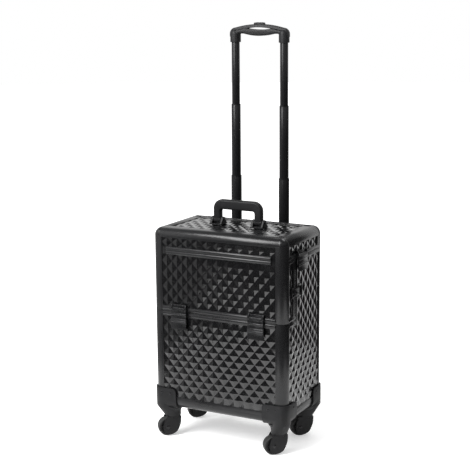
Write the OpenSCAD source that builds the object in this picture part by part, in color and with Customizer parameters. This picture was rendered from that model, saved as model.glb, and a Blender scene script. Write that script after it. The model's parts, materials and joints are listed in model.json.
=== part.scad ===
// Trolley case: an aluminium-framed hard case with diamond-embossed panels, a hinged
// L-shaped cover that takes in the lid and the upper front, a carry handle, toggle
// latches, a three-stage pull handle on its back and four swivel casters.
// The frame is in millimetres: X to the right, Y to the back, Z up, floor at Z = 0.

/* [Case] */
// Width of the case over its side faces
case_w = 340; // [300:5:400]
// Depth of the case over its front and rear faces
case_d = 200; // [180:5:240]
// Height of the case from its underside to its top
case_h = 428; // [400:5:480]
// Radius of every outer edge and corner
edge_r = 18; // [14:1:20]
// Height of the case's underside above the floor
ride_h = 76; // [72:1:90]

/* [Frame] */
// Wall of the frame profiles
profile_t = 2.5; // [2:0.1:3]
// Flat flange of a post on the front and rear faces
post_flange = 7; // [6:1:24]
// Flat flange of a post on the side faces
side_flange = 3; // [2.5:0.5:6]
// Flat flange of the bottom rails on the vertical faces
rail_flange = 10; // [8:1:14]
// Flat flange of the rails on the top and on the underside
top_flange = 16; // [12:1:20]
// Wall of the inner lips and webs that hold the boards
lip_t = 1.5; // [1.2:0.1:2]

/* [Panels] */
// Thickness of the wooden boards
board_t = 4; // [3:0.5:5]
// Thickness of the embossed sheet at its thinnest
sheet_t = 1; // [0.8:0.1:1.2]
// Height of the raised diamonds
emboss_h = 1.6; // [1:0.1:1.7]
// Half the width of a raised diamond
diamond_w = 13.4; // [10:0.1:18]
// Half the height of a raised diamond
diamond_h = 15.3; // [12:0.1:20]

/* [Seams] */
// Height of the opening seam on the front, from the underside
mid_seam = 235; // [215:1:260]
// Height of the lid's sides, from the lid seam to the top
lid_h = 51; // [46:1:70]
// Distance of the upright side seam from the front face
step_seam = 51; // [46:1:58]
// Height of each half of the front opening rim
rim_h = 12; // [10:1:14]
// Height of each half of the lid rim
lid_rim_h = 9; // [8:0.5:10]
// How far the rims' beads stand out of the faces
bead = 1.5; // [1:0.1:2]

/* [Inside] */
// Distance of the shelf's front edge from the front face
shelf_front = 80; // [60:5:110]

/* [Pull handle] */
// Distance between the two tube rows
tube_span = 126; // [110:2:140]
// Distance of the tubes' axes behind the rear face
tube_back = 15.5; // [15.2:0.1:20]
// Outer diameter of the fixed guide tubes
guide_od = 28; // [27:0.5:30]
// Step in outer diameter from one stage to the next
tube_step = 3; // [2.8:0.1:3.4]
// Wall of every tube
tube_t = 1.2; // [1:0.05:1.3]
// Distance of the guide tubes' tops below the top of the case
guide_drop = 16; // [14:1:40]
// Visible length of the lowest sliding stage
stage_3_out = 113; // [90:1:120]
// Visible length of the middle sliding stage
stage_2_out = 170; // [140:1:175]
// Visible length of the top sliding stage
stage_1_out = 147; // [120:1:150]
// Length of each stage that stays inside the one below
tube_hold = 75; // [60:5:90]

/* [Grip] */
// Width over the grip's sockets
grip_w = 152; // [146:1:160]
// Thickness of the grip from front to back
grip_d = 25; // [24:1:30]
// Height of the grip from its sockets to its crown
grip_h = 42; // [38:1:46]
// Width of the release button
button_w = 25; // [20:1:34]
// Travel of the release button
button_travel = 3.5; // [2:0.5:4]

/* [Carry handle] */
// Width over the handle's legs
bail_w = 125; // [115:1:135]
// Width of each leg
bail_leg = 19; // [15:1:20]
// Height of the handle's top above the lid
bail_h = 59; // [52:1:60]
// Depth of the hand bar, top to bottom
bail_bar = 23; // [18:1:25]
// Thickness of the handle from front to back
bail_t = 16; // [13:1:17]
// Distance of the handle's pivot behind the middle of the lid
bail_y = 4; // [0:1:6]
// Height of the handle's pivot above the lid
pivot_h = 11; // [10:0.5:12]

/* [Latches] */
// Width of the front latches
latch_w = 40; // [34:1:44]
// Length of the front latch levers
lever_h = 48; // [42:1:54]
// Distance of the front latches from the middle of the case
latch_x = 99; // [80:1:105]
// Width of the side latches
side_latch_w = 48; // [36:1:50]
// Length of the side latch levers
side_lever_h = 36; // [30:1:40]
// Thickness of the latch levers
lever_t = 3; // [2.5:0.1:3.5]

/* [Casters] */
// Diameter of the wheels
wheel_d = 44; // [40:1:44]
// Width of the wheels
wheel_w = 20; // [16:1:22]
// Distance of each swivel from the case's side and front or rear face
swivel_in = 30; // [28:1:34]
// Distance of the axle behind the swivel
trail = 15; // [12:1:17]
// Direction in which the wheels trail, turned from +X
trail_yaw = 222; // [0:1:360]
// Wall of the corner shoes
shoe_t = 3; // [2.5:0.1:3.5]
// Length of the corner shoes along the front and rear faces
shoe_w = 58; // [50:1:64]
// Length of the corner shoes along the side faces
shoe_d = 54; // [50:1:60]
// Height of the corner shoes up the faces
shoe_h = 47; // [40:1:50]

/* [Hidden] */

// Facets of large and of small round parts
fine = 64;
small = 32;
// Gap between pieces that lie against each other
gap = 0.3;
// Running clearance of pins and shafts
run = 0.05;
// Overlap that lets cuts pass through a face
cut = 1;

// Outer faces of the case
x_side = case_w / 2;
y_face = case_d / 2;
z_base = ride_h;
z_top = ride_h + case_h;
// Centre lines of the rounded edges
x_edge = x_side - edge_r;
y_edge = y_face - edge_r;
z_low = z_base + edge_r;
z_high = z_top - edge_r;
// Depth of the boards' outer and inner faces below the outer faces
board_out = profile_t + gap;
board_in = board_out + board_t;
// Depth of a profile's channel over its inner lip, and the reach of the lip
channel_d = board_in + gap + lip_t;
lip_reach = lip_t + 6;
// Distance from a profile's edge line to the board's edge in the channel
board_edge = lip_t + gap;
// Heights of the seams above the floor, and the upright seam's place
z_mid = z_base + mid_seam;
z_lid = z_top - lid_h;
y_step = -y_face + step_seam;
// Half the gap at the opening seam, and the board's distance from its middle
seam = 0.4;
seam_edge = seam + board_edge;
// Gap between rim bars that meet at a corner
mitre = 0.2;

// Hinge line of the cover along the rear top edge
barrel_r = 3;
pin_r = 1.2;
leaf_t = 1.5;
leaf_h = 14;
y_hinge = y_edge - lip_t - 2 * gap - barrel_r;
z_hinge = z_top - 1.5;
// Rear ends of the cover's top bar and of its sides
y_bar_end = y_hinge - barrel_r - cut;
y_side_end = y_edge - side_flange - 2 * gap;
rear_bar_d = 12;

// Windows of the panels between the flanges
x_window = x_edge - post_flange;
y_window = y_edge - side_flange;
z_window = z_low + rail_flange;
x_top_window = x_edge - top_flange;
y_top_window = y_edge - top_flange;

// Quarter ring that turns a profile's outer edge towards -X and -Y
module edge_bead() {
  intersection() {
    difference() {
      circle(edge_r, $fn = fine);
      circle(edge_r - profile_t, $fn = fine);
    }
    translate([-edge_r, -edge_r]) square(edge_r);
  }
}

// Channel section that runs along +X from an edge line, its outer face on Y = 0
module channel(flange) {
  square([flange, profile_t]);
  square([lip_t, channel_d]);
  translate([0, channel_d - lip_t]) square([min(flange, lip_reach), lip_t]);
}

// Turns a section over its diagonal
module swap() { rotate(90) mirror([0, 1]) children(); }

// Runs a section of Y and Z along X
module along_x(from, to) {
  translate([from, 0, 0]) rotate([90, 0, 90]) linear_extrude(to - from) children();
}

// Runs a section of X and Z along Y
module along_y(from, to) {
  translate([0, to, 0]) rotate([90, 0, 0]) linear_extrude(to - from) children();
}

// Runs a section of X and Y along Z
module along_z(from, to) {
  translate([0, 0, from]) linear_extrude(to - from) children();
}

// A copy on each side of the case
module both_sides() {
  children();
  mirror([1, 0, 0]) children();
}

// The same piece at the other end of the case's height
module at_top() { translate([0, 0, z_base + z_top]) mirror([0, 0, 1]) children(); }

// The same piece at the rear
module at_rear() { mirror([0, 1, 0]) children(); }

// Upright profile at the left front edge, between two heights
module post(from, to) {
  along_z(from, to) {
    translate([-x_edge, -y_edge]) edge_bead();
    translate([-x_edge, -y_face]) channel(post_flange);
    translate([-x_side, -y_edge]) swap() channel(side_flange);
  }
}

// Profile along the lower front edge
module cross_rail(upright, flat) {
  along_x(-x_edge, x_edge) {
    translate([-y_edge, z_low]) edge_bead();
    translate([-y_edge, z_base]) channel(flat);
  }
  along_x(-x_window, x_window) translate([-y_face, z_low]) swap() channel(upright);
}

// Profile along the lower left edge, up to a rear end
module side_rail(upright, flat, to) {
  along_y(-y_edge, to) translate([-x_edge, z_low]) edge_bead();
  along_y(flat + mitre - y_edge, min(to, y_edge - flat - mitre)) translate([-x_edge, z_base]) channel(flat);
  along_y(-y_window, min(to, y_window)) translate([-x_side, z_low]) swap() channel(upright);
}

// Hollow eighth of a sphere that closes the lower left front corner
module corner_cap() {
  translate([-x_edge, -y_edge, z_low]) intersection() {
    difference() {
      sphere(edge_r, $fn = fine);
      sphere(edge_r - profile_t, $fn = fine);
    }
    translate([-edge_r, -edge_r, -edge_r]) cube(edge_r);
  }
}

// Raised-diamond sheet with its back on Z = 0. It is w wide and h high; a stepped
// sheet goes on for more_w to the right, where it is more_h higher
module embossed_sheet(w, h, more_w = 0, more_h = 0) {
  wi = max(2, round(w / diamond_w));
  hj = max(2, round(h / diamond_h));
  ni = wi + round(more_w / diamond_w);
  nj = hj + round(more_h / diamond_h);
  row = ni + 1;
  n = row * (nj + 1);
  function x_at(i) = i <= wi ? i * w / wi : w + (i - wi) * more_w / (ni - wi);
  function y_at(j) = j <= hj ? j * h / hj : h + (j - hj) * more_h / (nj - hj);
  function kept(i, j) = i >= 0 && i < ni && j >= 0 && j < nj && (i >= wi || j < hj);
  function inside(i, j) = kept(i - 1, j - 1) && kept(i, j - 1) && kept(i - 1, j) && kept(i, j);
  function at(i, j) = j * row + i;
  function peak(i, j) = inside(i, j) && (i + j) % 2 == 0 ? emboss_h : 0;
  front = [for (j = [0:nj], i = [0:ni]) [x_at(i), y_at(j), sheet_t + peak(i, j)]];
  back = [for (j = [0:nj], i = [0:ni]) [x_at(i), y_at(j), 0]];
  cells = [for (j = [0:nj - 1], i = [0:ni - 1]) if (kept(i, j)) [i, j]];
  faces = [for (c = cells) let (
      i = c[0], j = c[1],
      p = at(i, j), q = at(i + 1, j), r = at(i + 1, j + 1), s = at(i, j + 1)
    ) each concat(
      (i + j) % 2 == 0 ? [[p, s, q], [q, s, r]] : [[p, r, q], [p, s, r]],
      [[n + p, n + q, n + r, n + s]],
      kept(i, j - 1) ? [] : [[p, q, n + q, n + p]],
      kept(i + 1, j) ? [] : [[q, r, n + r, n + q]],
      kept(i, j + 1) ? [] : [[r, s, n + s, n + r]],
      kept(i - 1, j) ? [] : [[s, p, n + p, n + s]]
    )];
  polyhedron(concat(front, back), faces, convexity = 4);
}

// Lays a piece drawn in X and Y on the front boards, its outer side forward
module on_front(x, z) { translate([x, board_out - y_face, z]) rotate([90, 0, 0]) children(); }

// Lays a piece drawn in X and Y on the right side boards, its outer side out
module on_side(y, z) { translate([x_side - board_out, y, z]) rotate([90, 0, 90]) children(); }

// Puts the middle of the whole outline on Y = 0
module placed() { translate([0, (latch_reach - tube_back - holder_r) / 2, 0]) children(); }

// Boards and shelf of the case

module base_board() {
  color("dimgray") translate([board_edge - x_edge, board_edge - y_edge, z_base + board_out])
    cube([2 * (x_edge - board_edge), 2 * (y_edge - board_edge), board_t]);
}

module rear_board() {
  color("#1c1c1e") translate([board_edge - x_edge, y_face - board_in, z_low + board_edge])
    cube([2 * (x_edge - board_edge), board_t, z_high - z_low - 2 * board_edge]);
}

// Side boards, stepped down in front for the cover
module side_boards() {
  color("#1c1c1e") both_sides() translate([x_side - board_in, 0, 0]) rotate([90, 0, 90])
    linear_extrude(board_t) polygon([
      [board_edge - y_edge, z_low + board_edge], [y_edge - board_edge, z_low + board_edge],
      [y_edge - board_edge, z_lid - seam_edge], [y_step + seam_edge, z_lid - seam_edge],
      [y_step + seam_edge, z_mid - seam_edge], [board_edge - y_edge, z_mid - seam_edge]
    ]);
}

module front_board() {
  color("#1c1c1e") translate([board_edge - x_edge, board_out - y_face, z_low + board_edge])
    cube([2 * (x_edge - board_edge), board_t, z_mid - seam_edge - z_low - board_edge]);
}

// Shelf over the rear of the lower compartment, with a raised front lip and
// side flanges riveted to the side boards
shelf_t = 3;
shelf_lip = 14;
module divider_shelf() {
  x_in = x_side - channel_d - gap;
  y_in = y_face - channel_d - gap;
  z_shelf = z_mid - rim_h;
  y_lip = shelf_front - y_face;
  color("slategray") {
    translate([-x_in, y_lip, z_shelf - shelf_t]) cube([2 * x_in, y_in - y_lip, shelf_t]);
    translate([-x_in, y_lip, z_shelf - shelf_t]) cube([2 * x_in, shelf_t, shelf_lip]);
    both_sides() translate([x_in - shelf_t, y_lip, z_shelf - shelf_lip])
      cube([x_side - board_in - gap - x_in + shelf_t, y_window - gap - y_lip, shelf_lip]);
  }
}

// Embossed sheets of the case

module front_lower_sheet() {
  color("#161618") on_front(-x_window, z_window)
    embossed_sheet(2 * x_window, z_mid - rim_h - z_window);
}

// Sheet of the right side, below and behind the cover
module side_sheet() {
  step_w = y_step + rim_h + y_window;
  step_h = z_mid - rim_h - z_window;
  on_side(-y_window, z_window)
    embossed_sheet(step_w, step_h, 2 * y_window - step_w, z_lid - lid_rim_h - z_window - step_h);
}
module right_side_sheet() { color("#161618") side_sheet(); }
module left_side_sheet() { color("#161618") mirror([1, 0, 0]) side_sheet(); }

// Frame of the case

module front_posts() { color("#242427") both_sides() post(z_low, z_mid - seam); }

module rear_posts() { color("#242427") both_sides() at_rear() post(z_low, z_high); }

module rear_rails() {
  color("#242427") at_rear() {
    cross_rail(rail_flange, top_flange);
    at_top() cross_rail(side_flange, lip_t);
  }
}

module bottom_rails() {
  color("#242427") {
    cross_rail(rail_flange, top_flange);
    both_sides() side_rail(rail_flange, top_flange, y_edge);
  }
}

module case_corners() {
  color("#242427") both_sides() {
    corner_cap();
    at_rear() corner_cap();
    at_rear() at_top() corner_cap();
  }
}

// Face of a rim bar of height h that runs along +X from the seam, with a
// rounded bead
module rim_face(h) {
  bead_r = (h - seam) / 2;
  square([h - seam, profile_t]);
  intersection() {
    translate([bead_r, bead_r - bead]) circle(bead_r, $fn = small);
    translate([0, -bead]) square([h, bead + profile_t]);
  }
}
// Web and inner lip of a rim bar, which hold the board at the seam
module rim_web() {
  square([lip_t, channel_d]);
  translate([0, channel_d - lip_t]) square([lip_reach, lip_t]);
}
module rim_section(h) {
  rim_face(h);
  rim_web();
}

// Rim of the case along the opening: front bar, low side bars, upright side
// bars and upper side bars
module case_rim() {
  color("#2c2c30") {
    along_x(-x_window, x_window)
      translate([-y_face, z_mid - seam]) mirror([0, 1]) swap() rim_section(rim_h);
    both_sides() {
      along_y(-y_window, y_step + seam - mitre)
        translate([-x_side, z_mid - seam]) mirror([0, 1]) swap() rim_section(rim_h);
      along_z(z_mid - rim_h, z_lid - seam) translate([-x_side, y_step + seam]) swap() rim_face(rim_h);
      along_z(z_mid - seam, z_lid - seam) translate([-x_side, y_step + seam]) swap() rim_web();
      along_y(y_step + rim_h + mitre, y_window)
        translate([-x_side, z_lid - seam]) mirror([0, 1]) swap() rim_section(lid_rim_h);
    }
  }
}

// Boards, sheets and frame of the cover

module cover_top_board() {
  color("#1c1c1e") translate([board_edge - x_edge, board_edge - y_edge, z_top - board_in])
    cube([2 * (x_edge - board_edge), y_bar_end - board_edge - board_edge + y_edge, board_t]);
}

module cover_front_board() {
  color("#1c1c1e") translate([board_edge - x_edge, board_out - y_face, z_mid + seam_edge])
    cube([2 * (x_edge - board_edge), board_t, z_high - board_edge - z_mid - seam_edge]);
}

module cover_side_boards() {
  color("#1c1c1e") both_sides() translate([x_side - board_in, 0, 0]) rotate([90, 0, 90])
    linear_extrude(board_t) polygon([
      [board_edge - y_edge, z_mid + seam_edge], [y_step - seam_edge, z_mid + seam_edge],
      [y_step - seam_edge, z_lid + seam_edge], [y_side_end - board_edge, z_lid + seam_edge],
      [y_side_end - board_edge, z_high - board_edge], [board_edge - y_edge, z_high - board_edge]
    ]);
}

module cover_top_sheet() {
  color("#161618") translate([-x_top_window, -y_top_window, z_top - board_out])
    embossed_sheet(2 * x_top_window, y_bar_end - rear_bar_d + y_top_window);
}

// The lid's band stops this short of the posts, and a plain strip of sheet goes on
band_short = 11;
module cover_front_sheets() {
  color("#161618") {
    on_front(-x_window, z_mid + rim_h)
      embossed_sheet(2 * x_window, z_lid - lid_rim_h - z_mid - rim_h);
    on_front(-x_window, z_lid + lid_rim_h)
      embossed_sheet(2 * x_window, z_high - side_flange - z_lid - lid_rim_h);
    both_sides() on_front(x_window - band_short, z_lid - lid_rim_h)
      cube([band_short, 2 * lid_rim_h, sheet_t]);
  }
}

// Sheets of the cover's right side, under and over the lid seam
module cover_side_sheets() {
  on_side(-y_window, z_mid + rim_h)
    embossed_sheet(y_step - rim_h + y_window, z_lid - lid_rim_h - z_mid - rim_h);
  on_side(-y_window, z_lid + lid_rim_h)
    embossed_sheet(y_side_end - rear_bar_d + y_window, z_high - side_flange - z_lid - lid_rim_h);
}
module cover_right_sheets() { color("#161618") cover_side_sheets(); }
module cover_left_sheets() { color("#161618") mirror([1, 0, 0]) cover_side_sheets(); }

module cover_posts() { color("#242427") both_sides() post(z_mid + seam, z_high); }

module cover_rails() {
  color("#242427") at_top() {
    cross_rail(side_flange, top_flange);
    both_sides() side_rail(side_flange, top_flange, y_side_end);
  }
}

// Bars that close the cover's rear edge, over the top and down both sides
module cover_rear_bar() {
  color("#242427") {
    along_x(-x_top_window, x_top_window) translate([y_bar_end, z_top]) mirror([1, 0]) mirror([0, 1])
      channel(rear_bar_d);
    both_sides() along_z(z_lid + lid_rim_h, z_high - side_flange)
      translate([-x_side, y_side_end]) mirror([0, 1]) swap() channel(rear_bar_d);
  }
}

module cover_corners() { color("#242427") both_sides() at_top() corner_cap(); }

// Rim of the cover, opposite the rim of the case
module cover_rim() {
  color("#2c2c30") {
    along_x(-x_window, x_window)
      translate([-y_face, z_mid + seam]) swap() rim_section(rim_h);
    both_sides() {
      along_y(-y_window, y_step - seam - mitre)
        translate([-x_side, z_mid + seam]) swap() rim_section(rim_h);
      along_z(z_mid + rim_h + mitre, z_lid + lid_rim_h)
        translate([-x_side, y_step - seam]) mirror([0, 1]) swap() rim_face(rim_h);
      along_z(z_mid + rim_h + mitre, z_lid + seam)
        translate([-x_side, y_step - seam]) mirror([0, 1]) swap() rim_web();
      along_y(y_step + mitre, y_side_end)
        translate([-x_side, z_lid + seam]) swap() rim_section(lid_rim_h);
    }
  }
}

// Double-beaded band that carries the line of the lid round the cover
module band_section() {
  bead_r = lid_rim_h / 2;
  translate([-lid_rim_h, 0]) square([2 * lid_rim_h, profile_t]);
  for (side = [-1, 1]) intersection() {
    translate([side * bead_r, bead_r - bead]) circle(bead_r, $fn = small);
    translate([-lid_rim_h, -bead]) square([2 * lid_rim_h, bead + profile_t]);
  }
}
module lid_band() {
  color("#2c2c30") {
    along_x(band_short - x_window, x_window - band_short) translate([-y_face, z_lid]) swap() band_section();
    both_sides() along_y(-y_window, y_step - rim_h - mitre)
      translate([-x_side, z_lid]) swap() band_section();
  }
}

// Hinge of the cover

hinge_half = 120;
knuckles = 7;
knuckle = 2 * hinge_half / knuckles;

// Every second knuckle from number first, with the leaf on side 1 or -1
module hinge_leaf(first, side) {
  for (k = [first:2:knuckles - 1])
    translate([-hinge_half + k * knuckle + gap / 2, y_hinge, z_hinge]) difference() {
      union() {
        rotate([0, 90, 0]) cylinder(r = barrel_r, h = knuckle - gap, $fn = small);
        translate([0, side > 0 ? barrel_r - leaf_t + gap : -barrel_r - gap, -leaf_h])
          cube([knuckle - gap, leaf_t, leaf_h]);
      }
      translate([-cut, 0, 0]) rotate([0, 90, 0])
        cylinder(r = pin_r + run, h = knuckle + 2 * cut, $fn = small);
    }
}
module case_hinge_leaf() { color("#3a3a3e") hinge_leaf(0, 1); }
module cover_hinge_leaf() { color("#3a3a3e") hinge_leaf(1, -1); }

module hinge_pin() {
  color("silver") translate([-hinge_half, y_hinge, z_hinge]) rotate([0, 90, 0])
    cylinder(r = pin_r, h = 2 * hinge_half, $fn = small);
}

// Carry handle

x_leg = (bail_w - bail_leg) / 2;
ear_t = 6;
ear_gap = 0.4;
bracket_d = 34;
bracket_plate = 2;
bail_pin_r = 2.5;
z_pivot = z_top + pivot_h;

// Bracket with two rounded ears on either side of a leg
module handle_bracket() {
  half = bail_leg / 2 + ear_gap + ear_t;
  translate([x_leg, bail_y, 0]) {
    translate([-half, -bracket_d / 2, z_top + gap]) cube([2 * half, bracket_d, bracket_plate]);
    for (x = [-half, half - ear_t]) difference() {
      along_x(x, x + ear_t) {
        translate([0, z_pivot]) circle(bracket_plate + 5, $fn = small);
        polygon([
          [-bracket_d / 2, z_top + gap], [bracket_d / 2, z_top + gap],
          [bracket_plate + 5, z_pivot], [-bracket_plate - 5, z_pivot]
        ]);
      }
      translate([x - cut, 0, z_pivot]) rotate([0, 90, 0])
        cylinder(r = bail_pin_r + run, h = ear_t + 2 * cut, $fn = small);
    }
  }
}
module handle_brackets() { color("#1a1a1c") both_sides() handle_bracket(); }

// Handle with rounded shoulders; its legs turn about pins in the brackets
bail_round = bail_bar - 1;
leg_r = 8;
module bail_outline() {
  bail_top = z_top + bail_h;
  difference() {
    union() {
      for (side = [-1, 1]) {
        translate([side * (bail_w / 2 - bail_round), bail_top - bail_round])
          circle(bail_round, $fn = fine);
        translate([side * x_leg - bail_leg / 2, z_pivot]) square([bail_leg, bail_h - pivot_h - bail_round]);
      }
      translate([bail_round - bail_w / 2, bail_top - bail_round])
        square([bail_w - 2 * bail_round, bail_round]);
      translate([-bail_w / 2, bail_top - bail_bar]) square([bail_w, bail_bar - bail_round]);
    }
    x_gap = x_leg - bail_leg / 2;
    translate([-x_gap, z_pivot - cut]) square([2 * x_gap, bail_h - pivot_h - bail_bar + cut]);
  }
}
module carry_handle() {
  color("#1a1a1c") {
    translate([0, bail_y, 0]) difference() {
      union() {
        along_y(-bail_t / 2, bail_t / 2) bail_outline();
        both_sides() translate([x_leg - bail_leg / 2, 0, z_pivot]) rotate([0, 90, 0])
          cylinder(r = leg_r, h = bail_leg, $fn = small);
      }
    }
    both_sides() translate([x_leg - bail_leg / 2 - ear_gap - ear_t, bail_y, z_pivot])
      rotate([0, 90, 0]) cylinder(r = bail_pin_r, h = bail_leg + 2 * (ear_gap + ear_t), $fn = small);
  }
}

// Toggle latches. Each is drawn for the front face about X = 0 with the hinge
// bar at Z = 0, its lever hanging down over the seam to a keeper

base_t = 2.5;
bar_r = 3;
bar_pin_r = 1.2;
base_h = 9;
ear_w = 4;
// Grip ribs on a lever, as shares of its length
rib_places = [0.27, 0.52, 0.63];
// Reach of the latches in front of the face
latch_reach = bead + gap + 2 * bar_r + bead;

// Base plate on the cover, with an ear at each end of the hinge bar
module latch_base(w) {
  translate([-w / 2, -bead - gap - base_t, bar_r + gap]) cube([w, base_t, base_h - bar_r]);
  for (side = [-1, 1]) translate([side * (w - ear_w) / 2 - ear_w / 2, 0, 0]) difference() {
    union() {
      translate([0, -bead - gap - bar_r, 0]) rotate([0, 90, 0]) cylinder(r = bar_r, h = ear_w, $fn = small);
      translate([0, -bead - gap - bar_r, 0]) cube([ear_w, bar_r, bar_r + gap + base_h - bar_r]);
    }
    translate([-cut, -bead - gap - bar_r, 0]) rotate([0, 90, 0])
      cylinder(r = bar_pin_r + run, h = ear_w + 2 * cut, $fn = small);
  }
}

// Lever with its hinge bar, pin, three grip ribs and a plain lower plate
module latch_lever(w, h) {
  inner = w - 2 * (ear_w + gap);
  y_pin = -bead - gap - bar_r;
  translate([-inner / 2, y_pin, 0]) rotate([0, 90, 0]) cylinder(r = bar_r, h = inner, $fn = small);
  translate([gap - w / 2, y_pin, 0]) rotate([0, 90, 0])
    cylinder(r = bar_pin_r, h = w - 2 * gap, $fn = small);
  translate([-inner / 2, y_pin - bar_r, -bar_r - cut]) cube([inner, lever_t, bar_r + cut]);
  translate([-w / 2, y_pin - bar_r, -h]) cube([w, lever_t, h - bar_r - cut]);
  for (z = rib_places) translate([gap - w / 2, y_pin - bar_r, -z * h]) rotate([0, 90, 0])
    cylinder(r = bead, h = w - 2 * gap, $fn = small);
}

// Keeper block on the case behind the lever
module latch_keeper(w, h, reach) {
  translate([-w / 4, -bead - gap - bar_r + gap, -h + ear_w]) cube([w / 2, bar_r - gap, reach]);
  translate([-w / 4, -bead - gap - bar_r + gap, -h + ear_w]) cube([w / 2, bar_r + bead, ear_w]);
}

z_bar = z_mid + rim_h - bar_r;
module at_front_latch(side) { translate([side * latch_x, -y_face, z_bar]) children(); }

// The side latches sit just behind the upright seam
z_side_bar = z_lid + lid_rim_h - bar_r;
y_side_latch = y_step + side_latch_w / 2 + cut;
module at_side_latch() { translate([x_side, y_side_latch, z_side_bar]) rotate([0, 0, 90]) children(); }

module latch_bases() {
  color("#2a2a2c") {
    for (side = [-1, 1]) at_front_latch(side) latch_base(latch_w);
    both_sides() at_side_latch() latch_base(side_latch_w);
  }
}
module latch_keepers() {
  color("#2a2a2c") {
    for (side = [-1, 1]) at_front_latch(side) latch_keeper(latch_w, lever_h, lever_h / 3);
    both_sides() at_side_latch() latch_keeper(side_latch_w, side_lever_h, side_lever_h / 4);
  }
}
module front_latch_left() { color("#303034") at_front_latch(-1) latch_lever(latch_w, lever_h); }
module front_latch_right() { color("#303034") at_front_latch(1) latch_lever(latch_w, lever_h); }
module side_latch_right() { color("#303034") at_side_latch() latch_lever(side_latch_w, side_lever_h); }
module side_latch_left() {
  color("#303034") mirror([1, 0, 0]) at_side_latch() latch_lever(side_latch_w, side_lever_h);
}

// Pull handle

x_tube = tube_span / 2;
y_tube = y_face + tube_back;
z_guide = z_top - guide_drop;
z_stage_3 = z_guide + stage_3_out;
z_stage_2 = z_stage_3 + stage_2_out;
z_stage_1 = z_stage_2 + stage_1_out;
guide_in = 12;
guide_bottom = z_base + guide_in;
socket_depth = 24;
stage_3_od = guide_od - tube_step;
stage_2_od = stage_3_od - tube_step;
stage_1_od = stage_2_od - tube_step;

// Tube between two heights, standing on X = 0
module tube(od, from, to) {
  translate([0, y_tube, from]) difference() {
    cylinder(d = od, h = to - from, $fn = fine);
    translate([0, 0, -cut]) cylinder(d = od - 2 * tube_t, h = to - from + 2 * cut, $fn = fine);
  }
}
// Plastic ring in a tube's top, which guides the next stage
ring_rim = 2;
ring_h = 10;
module slide_ring(od, next_od, top) {
  bore = od - 2 * tube_t;
  translate([0, y_tube, top]) difference() {
    union() {
      translate([0, 0, gap / 2]) cylinder(d = od, h = ring_rim, $fn = fine);
      translate([0, 0, -ring_h]) cylinder(d = bore - 2 * run, h = ring_h + ring_rim, $fn = fine);
    }
    translate([0, 0, -ring_h - cut])
      cylinder(d = next_od + 4 * run, h = ring_h + ring_rim + 2 * cut, $fn = fine);
  }
}
module tube_pair() { for (x = [-x_tube, x_tube]) translate([x, 0, 0]) children(); }

module guide_tubes() {
  color("#1f1f22") tube_pair() {
    tube(guide_od, guide_bottom, z_guide);
    slide_ring(guide_od, stage_3_od, z_guide);
  }
}
module stage_3_tubes() {
  color("#2b2b2f") tube_pair() {
    tube(stage_3_od, z_guide - tube_hold, z_stage_3);
    slide_ring(stage_3_od, stage_2_od, z_stage_3);
  }
}
module stage_2_tubes() {
  color("#303034") tube_pair() {
    tube(stage_2_od, z_stage_3 - tube_hold, z_stage_2);
    slide_ring(stage_2_od, stage_1_od, z_stage_2);
  }
}
module stage_1_tubes() {
  color("#35353a") tube_pair() tube(stage_1_od, z_stage_2 - tube_hold, z_stage_1 + socket_depth);
}

// Clamp that holds both guide tubes near their tops, and the foot below
holder_pad = 6;
holder_r = (guide_od + holder_pad) / 2;
clamp_h = 24;
foot_h = 22;
module tube_holder(from, h) {
  difference() {
    union() {
      translate([-x_tube, y_face + gap, from]) cube([tube_span, holder_pad, h]);
      tube_pair() {
        translate([0, y_tube, from]) cylinder(r = holder_r, h = h, $fn = fine);
        translate([-holder_r, y_face + gap, from]) cube([2 * holder_r, tube_back, h]);
      }
    }
    tube_pair() translate([0, y_tube, from - cut]) cylinder(d = guide_od + 2 * run, h = h + 2 * cut, $fn = fine);
    translate([-case_w, y_face - case_d, from - cut]) cube([2 * case_w, case_d + gap, h + 2 * cut]);
  }
}
module tube_clamp() { color("#1a1a1c") tube_holder(z_guide - clamp_h - holder_pad, clamp_h); }
module tube_foot() { color("#1a1a1c") tube_holder(guide_bottom, foot_h); }

// Grip: an arched bar between two round sockets, with a slot under its crown and a
// fuller hand bar below the slot
socket_w = 26;
shoulder_r = 15;
// Rise of the crown over the shoulders, and the radius that gives it
crown_rise = 8;
crown_half = grip_w / 2 - shoulder_r;
crown_r = (crown_half * crown_half + crown_rise * crown_rise) / (2 * crown_rise);
// The slot, and the depths of its floor and of the bar's belly under the crown
slot_w = 62;
slot_h = 5.5;
slot_floor = 12.5;
belly_drop = 27;
belly_r = 150;
bar_under = 22;
// Depth of the bar, which is slimmer than the sockets
bar_d = 20;
// The button's well, which ends above the slot
button_d = 11;
button_up = 4;
well_wall = 2;
z_crown = z_stage_1 + grip_h;
z_slot = z_crown - slot_floor;
z_well = z_slot + slot_h + well_wall;
module grip_outline() {
  inner = grip_w - 2 * socket_w;
  z_shoulder = z_crown - crown_rise - shoulder_r;
  difference() {
    union() {
      intersection() {
        translate([0, z_crown - crown_r]) circle(crown_r, $fn = 4 * fine);
        translate([-crown_half, z_stage_1]) square([2 * crown_half, grip_h]);
      }
      for (side = [-1, 1]) translate([side * crown_half, z_shoulder]) circle(shoulder_r, $fn = fine);
      translate([-grip_w / 2, z_stage_1]) square([grip_w, z_shoulder - z_stage_1]);
    }
    difference() {
      translate([-inner / 2, z_stage_1 - cut]) square([inner, z_crown - bar_under - z_stage_1 + cut]);
      translate([0, z_crown - belly_drop + belly_r]) circle(belly_r, $fn = 4 * fine);
    }
    translate([-slot_w / 2 + slot_h / 2, z_slot]) square([slot_w - slot_h, slot_h]);
    for (side = [-1, 1]) translate([side * (slot_w - slot_h) / 2, z_slot + slot_h / 2])
      circle(d = slot_h, $fn = small);
  }
}
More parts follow.
